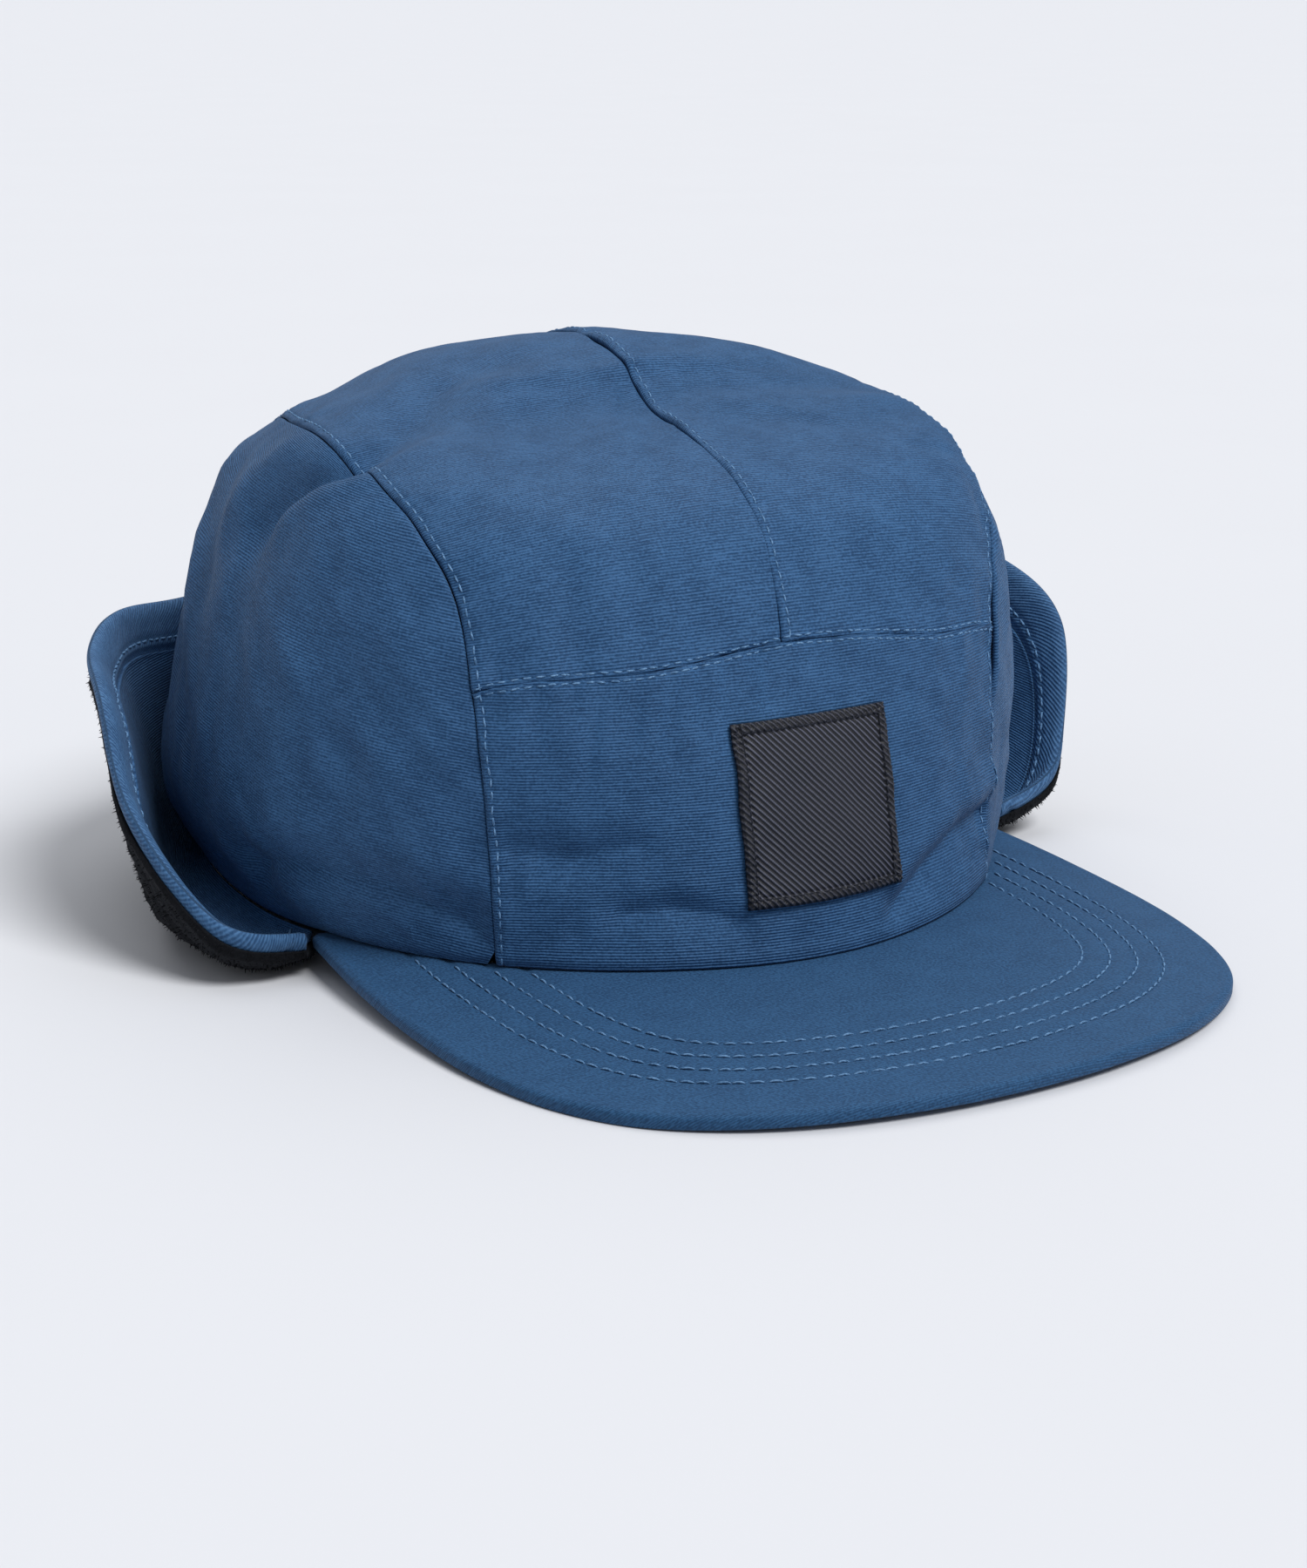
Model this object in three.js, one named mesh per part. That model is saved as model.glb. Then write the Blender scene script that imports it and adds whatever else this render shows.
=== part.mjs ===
// A five-panel cap with its earflap folded up round the crown, lying on a table.
// Millimetres, +Z up. The brim points along -Y and the wearer's left is +X.
// The origin is on the table, under the middle of the whole cap.

import * as THREE from 'three';

// Driving sizes
const clothThickness = 1.2;   // two plies of shell cloth where a panel is sewn
const seamGap = 0.45;         // between two pieces that meet at a seam
const rearHemHeight = 8.8;    // height of the hem behind the temples
const templeAngle = 72;       // degrees round from the front, where brim and flap meet
const hemEaseLength = 60;     // over which the hem eases from the brim's height to the rear's

const brim = {
  slope: 3.35,                // degrees, rising towards the wearer
  topHeight: 8.05,            // height of the upper face at the hem's front
  hemFrontY: -101,
  thickness: 3,
  edgeRound: 0.9,
  flatHalfWidth: 20,          // the middle is flat, and the sides droop beyond it
  droop: 0.0009,              // mm down for each square mm beyond the flat middle
  tuck: 2.2,                  // how far its rear edge lies under the hem
  templeTrim: 1.5,            // degrees short of the temple on each side
};

const patch = {
  width: 38.5,
  height: 38.5,
  top: 59,                    // height of its upper edge above the table
  thickness: 0.9,
  stepsEachWay: 8,
};

const flap = {
  shellThickness: 1.1,
  fleeceThickness: 2.3,
  layerGap: 0.8,              // between shell and fleece, which are sewn at their edges
  bandGap: 0.84,              // between the band and the two layers that it closes
  bandWidth: 12.5,
  bandThickness: 3.6,
  bandOffset: 0.9,            // how far the band's middle lies to the fleece's side
  pileGive: 0.48,             // how far the pile gives way where it lies on the table
  startDown: 10,              // how far the fold is drawn down where it leaves the hem
  startDrop: 0.7,             // how far below the hem its middle line starts
  fleeceStart: 6,             // how far from the hem the fleece starts
  softness: 1.2,              // mm over which the fold settles onto the table
  endShare: 0.975,            // share of the way to the temple where the ends close
};

const steps = {
  seam: 26,                   // along a side seam, hem to hem
  topAcross: 8,
  sideAcross: 9,
  frontAcross: 16,            // twice the top panels' steps, so that the seams match
  frontDown: 8,
  brimAlong: 48,
  brimAcross: 3,
  flapAlong: 50,
  shellAcross: 9,
  fleeceAcross: 10,
  bandAcross: 3,
};

const colours = {
  crown: 0x3b5f8c,
  brim: 0x37587f,
  patch: 0x2b2f3a,
  flap: 0x3a5c86,
  fleece: 0x1f2227,
};

// The crown in level sections, from the hem up to the top. Each is an oval that is squarer
// as its power grows. front and rear are its ends along Y, and waist is its widest place.
const crownLevels = [
  { height: 8.5, halfWidth: 91.5, front: -99, rear: 99, frontPower: 1.95, rearPower: 2.2, waist: 1 },
  { height: 26.3, halfWidth: 98.8, front: -95.6, rear: 103, frontPower: 1.95, rearPower: 2.35, waist: 2 },
  { height: 51.3, halfWidth: 96.8, front: -90, rear: 99.8, frontPower: 2.23, rearPower: 2.28, waist: 1 },
  { height: 76.3, halfWidth: 91.9, front: -82.5, rear: 95.6, frontPower: 2.55, rearPower: 2.28, waist: -1 },
  { height: 94.3, halfWidth: 86.3, front: -73.8, rear: 89.6, frontPower: 2.6, rearPower: 2.2, waist: -3 },
  { height: 104.3, halfWidth: 81.7, front: -61.4, rear: 82.2, frontPower: 2.62, rearPower: 2.1, waist: -4.5 },
  { height: 110.3, halfWidth: 77.3, front: -45.2, rear: 72.7, frontPower: 2.66, rearPower: 1.95, waist: -5.5 },
  { height: 115.3, halfWidth: 69.2, front: -24.5, rear: 62.8, frontPower: 2.62, rearPower: 1.95, waist: -3 },
  { height: 120.3, halfWidth: 56.6, front: -16.5, rear: 51.2, frontPower: 2.5, rearPower: 2.08, waist: 3.1 },
  { height: 125.3, halfWidth: 40.3, front: -10.9, rear: 37.3, frontPower: 2.33, rearPower: 2.1, waist: 8.2 },
  { height: 129.8, halfWidth: 0, front: 11.3, rear: 11.3, frontPower: 2.1, rearPower: 2.1, waist: 11.3 },
];

// A place on the crown is an angle round from the front, in degrees, and a reach: 0 at the
// crown's top, 1 at the hem. Side seams from the front hem over the crown to the rear hem.
const rightSideSeam = [
  { angle: -43.3, reach: 1 },
  { angle: -43.1, reach: 0.88 },
  { angle: -44.9, reach: 0.726 },
  { angle: -49.2, reach: 0.578 },
  { angle: -57.7, reach: 0.49 },
  { angle: -66.9, reach: 0.436 },
  { angle: -77.5, reach: 0.384 },
  { angle: -92, reach: 0.35 },
  { angle: -110, reach: 0.36 },
  { angle: -131, reach: 0.415 },
  { angle: -146, reach: 0.545 },
  { angle: -151, reach: 0.76 },
  { angle: -153, reach: 1 },
];
const leftSideSeam = [
  { angle: 38.8, reach: 1 },
  { angle: 38.5, reach: 0.88 },
  { angle: 38.5, reach: 0.757 },
  { angle: 45.5, reach: 0.6 },
  { angle: 57.5, reach: 0.522 },
  { angle: 68.1, reach: 0.454 },
  { angle: 78, reach: 0.395 },
  { angle: 92, reach: 0.355 },
  { angle: 110, reach: 0.36 },
  { angle: 131, reach: 0.415 },
  { angle: 146, reach: 0.545 },
  { angle: 151, reach: 0.76 },
  { angle: 153, reach: 1 },
];

// The cross seam over the forehead, between the two places where it meets a side seam.
const crossSeamEndReach = 0.672;
const crossSeam = [
  { angle: -23, reach: 0.652 },
  { angle: 0, reach: 0.634 },
  { angle: 23, reach: 0.652 },
];
const crossSeamMiddle = crossSeam[1];

// Soft folds in the crown: a ridge along a line, or a dent where the rise is negative.
const crownFolds = [
  { fromAngle: -76, fromReach: 0.16, toAngle: -77, toReach: 0.385, halfWidth: 7, rise: -2.2 },
  { fromAngle: -77, fromReach: 0.385, toAngle: -92, toReach: 0.52, halfWidth: 8, rise: -3 },
  { fromAngle: 30, fromReach: 0.33, toAngle: 72, toReach: 0.36, halfWidth: 6, rise: 1.3 },
  { fromAngle: -82, fromReach: 0.925, toAngle: -46, toReach: 0.935, halfWidth: 6, rise: -2 },
  { fromAngle: -37, fromReach: 0.88, toAngle: -15, toReach: 0.945, halfWidth: 8, rise: -1.2 },
  { fromAngle: 11, fromReach: 0.975, toAngle: 36, toReach: 0.925, halfWidth: 6, rise: -1.8 },
  { fromAngle: -124, fromReach: 0.47, toAngle: -110, toReach: 0.65, halfWidth: 8, rise: 1.5 },
];

// The brim's outline on one side, from the middle of its front to the temple.
const brimOutline = [
  { x: 0, y: -167.6 },
  { x: 24, y: -165.9 },
  { x: 46, y: -160.4 },
  { x: 63, y: -151.6 },
  { x: 75.3, y: -140.6 },
  { x: 84, y: -125.5 },
  { x: 89.4, y: -106 },
  { x: 91.6, y: -83 },
  { x: 91.4, y: -55 },
  { x: 89.3, y: -29 },
];

// The flap's free edge from the wearer's right temple round the back to the left one, at
// even shares of the way. out is how far the fold first swings out from the hem. belly and
// drop place the second swell of the flap's wall: how far out and how far down it lies from
// the free edge.
const flapEdge = [
  { x: -90, y: -32, z: 9.6, out: 4, belly: 1, drop: 1.5 },
  { x: -110, y: -28.5, z: 15, out: 15, belly: 0, drop: 6 },
  { x: -120, y: -4, z: 36, out: 32, belly: -8, drop: 16 },
  { x: -116.3, y: 20, z: 56, out: 26, belly: -14, drop: 22 },
  { x: -108, y: 47, z: 60.4, out: 18, belly: -12, drop: 24 },
  { x: -92.5, y: 70, z: 62.2, out: 17, belly: -7, drop: 26 },
  { x: -67.5, y: 90, z: 59.2, out: 18, belly: -4, drop: 28 },
  { x: -34, y: 106.5, z: 59.5, out: 16, belly: -5, drop: 28 },
  { x: 0, y: 113, z: 60, out: 13, belly: -8, drop: 28 },
  { x: 37, y: 106, z: 60.5, out: 16, belly: -5, drop: 28 },
  { x: 71, y: 88.5, z: 62.5, out: 19, belly: -4, drop: 28 },
  { x: 97.5, y: 60.5, z: 66, out: 18, belly: -9, drop: 26 },
  { x: 114, y: 33, z: 67, out: 20, belly: -13, drop: 24 },
  { x: 123.5, y: 4, z: 63.5, out: 24, belly: -14, drop: 22 },
  { x: 125, y: -17, z: 49.5, out: 24, belly: -13, drop: 19 },
  { x: 117, y: -24.5, z: 18, out: 12, belly: -4, drop: 9 },
  { x: 93, y: -31, z: 9.6, out: 3, belly: 0.5, drop: 1.5 },
];

// Curves through tables

const radians = THREE.MathUtils.degToRad;

// A smooth value between two rows of a table: a cubic whose slopes are those of the
// neighbouring rows, or level at the last row where flatEnd asks for it.
function smoothColumn(rows, places, column, place, flatEnd) {
  const last = rows.length - 1;
  let i = 0;
  while (i < last - 1 && place > places[i + 1]) {
    i += 1;
  }
  const slopeAt = (k) => {
    if (flatEnd && k === last) {
      return 0;
    }
    const low = Math.max(k - 1, 0);
    const high = Math.min(k + 1, last);
    return (rows[high][column] - rows[low][column]) / (places[high] - places[low]);
  };
  const span = places[i + 1] - places[i];
  const t = (place - places[i]) / span;
  const fromStart = rows[i][column] * (2 * t ** 3 - 3 * t ** 2 + 1);
  const fromEnd = rows[i + 1][column] * (3 * t ** 2 - 2 * t ** 3);
  const startSlope = slopeAt(i) * span * (t ** 3 - 2 * t ** 2 + t);
  const endSlope = slopeAt(i + 1) * span * (t ** 3 - t ** 2);
  return fromStart + fromEnd + startSlope + endSlope;
}

// The crown's surface

// How far each level lies down the crown's side, as a share of its whole length.
function levelDistances() {
  const meanRadius = (row) => (row.halfWidth + (row.rear - row.front) / 2) / 2;
  const distances = [0];
  for (let i = 1; i < crownLevels.length; i += 1) {
    const rise = crownLevels[i].height - crownLevels[i - 1].height;
    const shrink = meanRadius(crownLevels[i]) - meanRadius(crownLevels[i - 1]);
    distances.push(distances[i - 1] + Math.hypot(rise, shrink));
  }
  return distances;
}

const distances = levelDistances();
const crownLength = distances[distances.length - 1];
const levelShares = distances.map((distance) => distance / crownLength);
const discRadius = 105;       // mm on the cloth for one radius of the disc, round the crown

function brimTop(x, y) {
  const aside = Math.max(Math.abs(x) - brim.flatHalfWidth, 0);
  const slope = Math.tan(radians(brim.slope));
  return brim.topHeight + slope * (y - brim.hemFrontY) - brim.droop * aside ** 2;
}

// The hem lies on the brim in front, and eases down to its height behind the temples.
function hemHeight(x, y) {
  const templeY = brimOutline[brimOutline.length - 1].y;
  const onBrim = brimTop(x, Math.min(y, templeY)) + seamGap;
  const ease = THREE.MathUtils.smoothstep(y, templeY, templeY + hemEaseLength);
  return THREE.MathUtils.lerp(onBrim, rearHemHeight, ease);
}

// across and back are the plan of a place on the crown pressed flat to a disc of radius 1.
function bareCrown(across, back) {
  const reach = Math.min(Math.hypot(across, back), 1);
  const angle = Math.atan2(across, -back);
  const column = (name) => smoothColumn(crownLevels, levelShares, name, 1 - reach, name === 'height');
  const sine = Math.abs(Math.sin(angle));
  const cosine = Math.cos(angle);
  const waist = column('waist');
  const power = cosine > 0 ? column('frontPower') : column('rearPower');
  const halfLength = cosine > 0 ? waist - column('front') : column('rear') - waist;
  const halfWidth = column('halfWidth');
  const stretch = (sine * halfLength) ** power + (Math.abs(cosine) * halfWidth) ** power;
  const radius = halfLength * halfWidth / Math.max(stretch, 1e-9) ** (1 / power);
  const x = radius * Math.sin(angle);
  const y = waist - radius * cosine;
  const nearHem = THREE.MathUtils.smoothstep(reach, 0.72, 1);
  const z = column('height') + (hemHeight(x, y) - crownLevels[0].height) * nearHem;
  return new THREE.Vector3(x, y, z);
}

function onDisc(angle, reach) {
  return new THREE.Vector2(reach * Math.sin(radians(angle)), -reach * Math.cos(radians(angle)));
}

function foldRise(across, back) {
  let rise = 0;
  for (const fold of crownFolds) {
    const start = onDisc(fold.fromAngle, fold.fromReach);
    const run = onDisc(fold.toAngle, fold.toReach).sub(start);
    const offset = new THREE.Vector2(across, back).sub(start);
    const share = THREE.MathUtils.clamp(offset.dot(run) / run.lengthSq(), 0, 1);
    const away = offset.sub(run.multiplyScalar(share)).length() * crownLength;
    rise += fold.rise * Math.exp(-((away / fold.halfWidth) ** 2));
  }
  return rise;
}

function bareNormal(across, back) {
  const nudge = 0.004;
  const alongAcross = bareCrown(across + nudge, back).sub(bareCrown(across - nudge, back));
  const alongBack = bareCrown(across, back + nudge).sub(bareCrown(across, back - nudge));
  return alongAcross.cross(alongBack).normalize();
}

// A point on the crown's outside, or depth below it.
function crownPoint(place, depth) {
  const point = bareCrown(place.x, place.y);
  const normal = bareNormal(place.x, place.y);
  const nearHem = 1 - THREE.MathUtils.smoothstep(place.length(), 0.95, 1);
  const rise = foldRise(place.x, place.y) * nearHem;
  point.addScaledVector(normal, rise - depth);
  const lowest = hemHeight(point.x, point.y);
  point.z = Math.max(point.z, lowest);
  return point;
}

// A curve on the disc through the rows of a seam's table.
function seamCurve(rows) {
  const points = rows.map((row) => {
    const place = onDisc(row.angle, row.reach);
    return new THREE.Vector3(place.x, place.y, 0);
  });
  return new THREE.CatmullRomCurve3(points);
}

function flatPoint(curve, share) {
  const point = curve.getPointAt(THREE.MathUtils.clamp(share, 0, 1));
  return new THREE.Vector2(point.x, point.y);
}

// Closed solids from grids

// Joins two grids of points, the outside and the inside of a sheet, round their borders.
// place(i, j, layer) gives the point at column i and row j, on layer 0 outside or 1 inside.
function sheetGeometry(columns, rows, place) {
  const positions = [];
  const index = [];
  const layerSize = (columns + 1) * (rows + 1);
  const at = (i, j, layer) => layer * layerSize + j * (columns + 1) + i;
  for (const layer of [0, 1]) {
    for (let j = 0; j <= rows; j += 1) {
      for (let i = 0; i <= columns; i += 1) {
        positions.push(...place(i, j, layer).toArray());
      }
    }
  }
  const quad = (a, b, c, d) => index.push(a, b, c, a, c, d);
  for (let j = 0; j < rows; j += 1) {
    for (let i = 0; i < columns; i += 1) {
      quad(at(i, j, 0), at(i + 1, j, 0), at(i + 1, j + 1, 0), at(i, j + 1, 0));
      quad(at(i, j, 1), at(i, j + 1, 1), at(i + 1, j + 1, 1), at(i + 1, j, 1));
    }
  }
  for (let i = 0; i < columns; i += 1) {
    quad(at(i, 0, 0), at(i, 0, 1), at(i + 1, 0, 1), at(i + 1, 0, 0));
    quad(at(i, rows, 0), at(i + 1, rows, 0), at(i + 1, rows, 1), at(i, rows, 1));
  }
  for (let j = 0; j < rows; j += 1) {
    quad(at(0, j, 0), at(0, j + 1, 0), at(0, j + 1, 1), at(0, j, 1));
    quad(at(columns, j, 0), at(columns, j, 1), at(columns, j + 1, 1), at(columns, j + 1, 0));
  }
  return closedGeometry(positions, index);
}

// Turns the faces outward where the winding encloses a negative volume.
function closedGeometry(positions, index) {
  const corner = (k) => new THREE.Vector3().fromArray(positions, 3 * index[k]);
  let volume = 0;
  for (let k = 0; k < index.length; k += 3) {
    volume += corner(k).dot(corner(k + 1).cross(corner(k + 2)));
  }
  const wound = volume > 0 ? index : index.slice().reverse();
  const geometry = new THREE.BufferGeometry();
  geometry.setAttribute('position', new THREE.Float32BufferAttribute(positions, 3));
  geometry.setIndex(wound);
  geometry.computeVertexNormals();
  return geometry;
}

function namedMesh(name, geometry, colour, roughness) {
  const material = new THREE.MeshStandardMaterial({ color: colour, roughness, metalness: 0 });
  const mesh = new THREE.Mesh(geometry, material);
  mesh.name = name;
  return mesh;
}

// Crown panels

const halfGap = seamGap / 2 / discRadius;
const sides = {
  left: sideOf(leftSideSeam),
  right: sideOf(rightSideSeam),
};
const crossCurve = new THREE.CatmullRomCurve3([
  sides.right.curve.getPointAt(sides.right.crossShare),
  ...seamCurve(crossSeam).points,
  sides.left.curve.getPointAt(sides.left.crossShare),
]);

// A side seam's curve, where on it the cross seam ends, and the angles of its two hem ends.
function sideOf(rows) {
  const curve = seamCurve(rows);
  const crossShare = shareAtReach(curve, crossSeamEndReach);
  return { curve, crossShare, firstAngle: rows[0].angle, lastAngle: rows[rows.length - 1].angle };
}

// Where along a side seam, from its front hem, the reach first falls to a value.
function shareAtReach(curve, reach) {
  let low = 0;
  let high = 0.4;
  for (let i = 0; i < 40; i += 1) {
    const middle = (low + high) / 2;
    if (flatPoint(curve, middle).length() > reach) {
      low = middle;
    } else {
      high = middle;
    }
  }
  return low;
}

function panelPoint(place, layer) {
  return crownPoint(place, layer * clothThickness);
}

// One of the two panels over the head, between the centre seam and a side seam. Its rows
// run straight across the disc, pulled to the cross seam in front and to the hem behind.
function topPanel(side) {
  const { curve, crossShare } = side > 0 ? sides.left : sides.right;
  const rows = steps.seam;
  const columns = steps.topAcross;
  const place = (i, j, layer) => {
    const down = j / rows;
    const across = i / columns;
    const seamShare = THREE.MathUtils.lerp(crossShare, 1, down);
    const onSeam = flatPoint(curve, seamShare);
    const centreBack = THREE.MathUtils.lerp(-crossSeamMiddle.reach, 1, down ** 1.15);
    const onCentre = new THREE.Vector2(0, centreBack);
    const spot = onCentre.clone().lerp(onSeam, across);
    const frontPull = Math.max(0, 1 - down * 4);
    const onCross = flatPoint(crossCurve, 0.5 + 0.5 * side * across);
    const straight = new THREE.Vector2(0, -crossSeamMiddle.reach);
    straight.lerp(flatPoint(curve, crossShare), across);
    spot.addScaledVector(onCross.sub(straight), frontPull);
    const rearBow = onHemBow(onSeam, across) * Math.max(0, down * 4 - 3);
    spot.multiplyScalar(1 + rearBow);
    spot.x += side * halfGap * (1 - 2 * across);
    spot.y += halfGap * frontPull;
    return panelPoint(spot, layer);
  };
  return sheetGeometry(columns, rows, place);
}

// How much a straight chord from the rear's middle to the seam's end must bow outward to
// follow the hem's circle, as a share of its distance from the centre.
function onHemBow(onSeam, across) {
  const chord = new THREE.Vector2(0, 1).lerp(onSeam.clone().normalize(), across);
  return 1 / chord.length() - 1;
}

// The share of a side seam at a step: the front panel's rows, and then the top panel's.
function seamShareAt(j, crossShare) {
  if (j <= steps.frontDown) {
    return crossShare * j / steps.frontDown;
  }
  return THREE.MathUtils.lerp(crossShare, 1, (j - steps.frontDown) / steps.seam);
}

// A side panel, between a side seam and the hem below it.
function sidePanel(side) {
  const { curve, crossShare, firstAngle, lastAngle } = side > 0 ? sides.left : sides.right;
  const rows = steps.frontDown + steps.seam;
  const columns = steps.sideAcross;
  const tip = 0.01;
  const place = (i, j, layer) => {
    const along = THREE.MathUtils.clamp(seamShareAt(j, crossShare), tip, 1 - tip);
    const down = i / columns;
    const onSeam = flatPoint(curve, along);
    const hemAngle = THREE.MathUtils.lerp(firstAngle, lastAngle, along);
    const onHem = onDisc(hemAngle, 1);
    const spot = onSeam.clone().lerp(onHem, down);
    const outward = onHem.sub(onSeam).normalize();
    spot.addScaledVector(outward, halfGap * (1 - down));
    return panelPoint(spot, layer);
  };
  return sheetGeometry(columns, rows, place);
}

// The panel over the forehead, between the cross seam, the side seams and the hem.
function frontPanel() {
  const columns = steps.frontAcross;
  const rows = steps.frontDown;
  const rightAngle = sides.right.firstAngle;
  const leftAngle = sides.left.firstAngle;
  const place = (i, j, layer) => {
    const across = i / columns;
    const down = j / rows;
    const onCross = flatPoint(crossCurve, across);
    const onHem = onDisc(THREE.MathUtils.lerp(rightAngle, leftAngle, across), 1);
    const spot = onCross.clone().lerp(onHem, down);
    const rightEdge = flatPoint(sides.right.curve, sides.right.crossShare * (1 - down));
    const leftEdge = flatPoint(sides.left.curve, sides.left.crossShare * (1 - down));
    const crossRight = flatPoint(crossCurve, 0).lerp(onDisc(rightAngle, 1), down);
    const crossLeft = flatPoint(crossCurve, 1).lerp(onDisc(leftAngle, 1), down);
    spot.addScaledVector(rightEdge.sub(crossRight), 1 - across);
    spot.addScaledVector(leftEdge.sub(crossLeft), across);
    spot.x += halfGap * (1 - 2 * across);
    spot.y -= halfGap * (1 - down);
    return panelPoint(spot, layer);
  };
  return sheetGeometry(columns, rows, place);
}

// Brim: a board with a rounded rim, cut at the rear to the line of the hem.

// The rim in section, from the upper face to the lower one.
const rimSection = [
  { inset: brim.edgeRound, level: 0 },
  { inset: 0, level: -brim.edgeRound },
  { inset: 0, level: brim.edgeRound - brim.thickness },
  { inset: brim.edgeRound, level: -brim.thickness },
];

function mirroredOutline(rows) {
  const half = rows.map((row) => new THREE.Vector3(row.x, row.y, 0));
  const other = half.slice(1).reverse().map((point) => new THREE.Vector3(-point.x, point.y, 0));
  return new THREE.CatmullRomCurve3([...other, ...half], false, 'centripetal');
}

function onBrim(point, level) {
  return new THREE.Vector3(point.x, point.y, brimTop(point.x, point.y) + level);
}

// The hem's line from above, at an angle round from the front, moved in by a depth.
function hemPlan(angle, depth) {
  const place = onDisc(angle, 1);
  const point = bareCrown(place.x, place.y).setZ(0);
  const inward = new THREE.Vector3(0, crownLevels[0].waist, 0).sub(point).normalize();
  return point.addScaledVector(inward, depth);
}

// One closed section of the brim: out along the upper face and in along the lower one.
function brimSectionPoints(share, outer) {
  const edge = outer.getPointAt(share);
  const tangent = outer.getTangentAt(share);
  const inward = new THREE.Vector3(-tangent.y, tangent.x, 0);
  const reach = templeAngle - brim.templeTrim;
  const inner = hemPlan(THREE.MathUtils.lerp(-reach, reach, share), brim.tuck);
  const rim = rimSection.map((row) => onBrim(edge.clone().addScaledVector(inward, row.inset), row.level));
  const faceRow = (k, level) => onBrim(inner.clone().lerp(edge, k / steps.brimAcross), level);
  const upper = [];
  const lower = [];
  for (let k = 0; k < steps.brimAcross; k += 1) {
    upper.push(faceRow(k, 0));
    lower.unshift(faceRow(k, -brim.thickness));
  }
  return [...upper, ...rim, ...lower];
}

function brimBoard() {
  const outer = mirroredOutline(brimOutline);
  const positions = [];
  const index = [];
  let around = 0;
  for (let i = 0; i <= steps.brimAlong; i += 1) {
    const section = brimSectionPoints(i / steps.brimAlong, outer);
    around = section.length;
    section.forEach((point) => positions.push(...point.toArray()));
  }
  const at = (i, k) => i * around + (k % around);
  for (let i = 0; i < steps.brimAlong; i += 1) {
    for (let k = 0; k < around; k += 1) {
      index.push(at(i, k), at(i, k + 1), at(i + 1, k + 1));
      index.push(at(i, k), at(i + 1, k + 1), at(i + 1, k));
    }
  }
  const end = steps.brimAlong;
  const opposite = (k) => around - 1 - k;
  for (let k = 0; k < around / 2 - 1; k += 1) {
    index.push(at(0, k), at(0, opposite(k)), at(0, opposite(k + 1)));
    index.push(at(0, k), at(0, opposite(k + 1)), at(0, k + 1));
    index.push(at(end, k), at(end, opposite(k + 1)), at(end, opposite(k)));
    index.push(at(end, k), at(end, k + 1), at(end, opposite(k + 1)));
  }
  return closedGeometry(positions, index);
}

// Patch: a thin square that follows the front panel, a seam gap proud of it.

function patchSquare() {
  const columns = patch.stepsEachWay;
  const bottom = patch.top - patch.height;
  const place = (i, j, layer) => {
    const x = patch.width * (i / columns - 0.5);
    const height = THREE.MathUtils.lerp(patch.top, bottom, j / columns);
    const spot = placeAtFront(x, height);
    return crownPoint(spot, -seamGap - patch.thickness * (1 - layer));
  };
  return sheetGeometry(columns, columns, place);
}

// The place on the front of the crown's disc at a sideways distance and a height.
function placeAtFront(x, height) {
  const spot = new THREE.Vector2(x / crownLength, -0.8);
  for (let i = 0; i < 30; i += 1) {
    const point = bareCrown(spot.x, spot.y);
    spot.x += (x - point.x) / crownLength;
    spot.y -= (point.z - height) / crownLength;
  }
  return spot;
}

// Earflap: one long piece from temple to temple round the back, folded up. Across, it runs
// from the hem down and out to the table and then up to its free edge.

const flapPlaces = flapEdge.map((row, i) => i);

function flapColumn(name, share) {
  const place = (share + 1) / 2 * (flapEdge.length - 1);
  return smoothColumn(flapEdge, flapPlaces, name, place, false);
}

// The middle line of the flap's section at a share from -1 to 1: a Bezier curve that starts
// downward at the hem and ends upward at the free edge, kept off the table by a smooth floor.
function flapSection(share) {
  const angle = 180 - share * (180 - templeAngle);
  const hem = hemPlan(angle, clothThickness / 2);
  hem.z = hemHeight(hem.x, hem.y) - seamGap - flap.startDrop;
  const edge = new THREE.Vector3(flapColumn('x', share), flapColumn('y', share), flapColumn('z', share));
  const outward = edge.clone().sub(hem).setZ(0).normalize();
  const shrink = Math.min(1, 0.3 * hem.distanceTo(edge) / flap.startDown);
  const first = hem.clone().addScaledVector(outward, flapColumn('out', share) * shrink);
  first.z -= flap.startDown * shrink;
  const second = edge.clone().addScaledVector(outward, flapColumn('belly', share));
  second.z -= flapColumn('drop', share);
  const curve = new THREE.CubicBezierCurve3(hem, first, second, edge);
  const layers = flap.fleeceThickness + flap.layerGap + flap.shellThickness / 2;
  const floor = layers - flap.pileGive;
  return (t) => {
    const point = curve.getPoint(t);
    const above = point.z - floor;
    point.z = floor + (above + Math.hypot(above, flap.softness)) / 2;
    return point;
  };
}

// Points evenly spaced along the section, from the hem, with its whole length.
function evenSection(share) {
  const section = flapSection(share);
  const samples = 60;
  const points = [];
  const lengths = [0];
  for (let k = 0; k <= samples; k += 1) {
    points.push(section(k / samples));
    if (k > 0) {
      lengths.push(lengths[k - 1] + points[k].distanceTo(points[k - 1]));
    }
  }
  const total = lengths[samples];
  const pointAt = (distance) => {
    let k = 1;
    while (k < samples && lengths[k] < distance) {
      k += 1;
    }
    const t = (distance - lengths[k - 1]) / (lengths[k] - lengths[k - 1]);
    return points[k - 1].clone().lerp(points[k], t);
  };
  return { pointAt, total };
}

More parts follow.
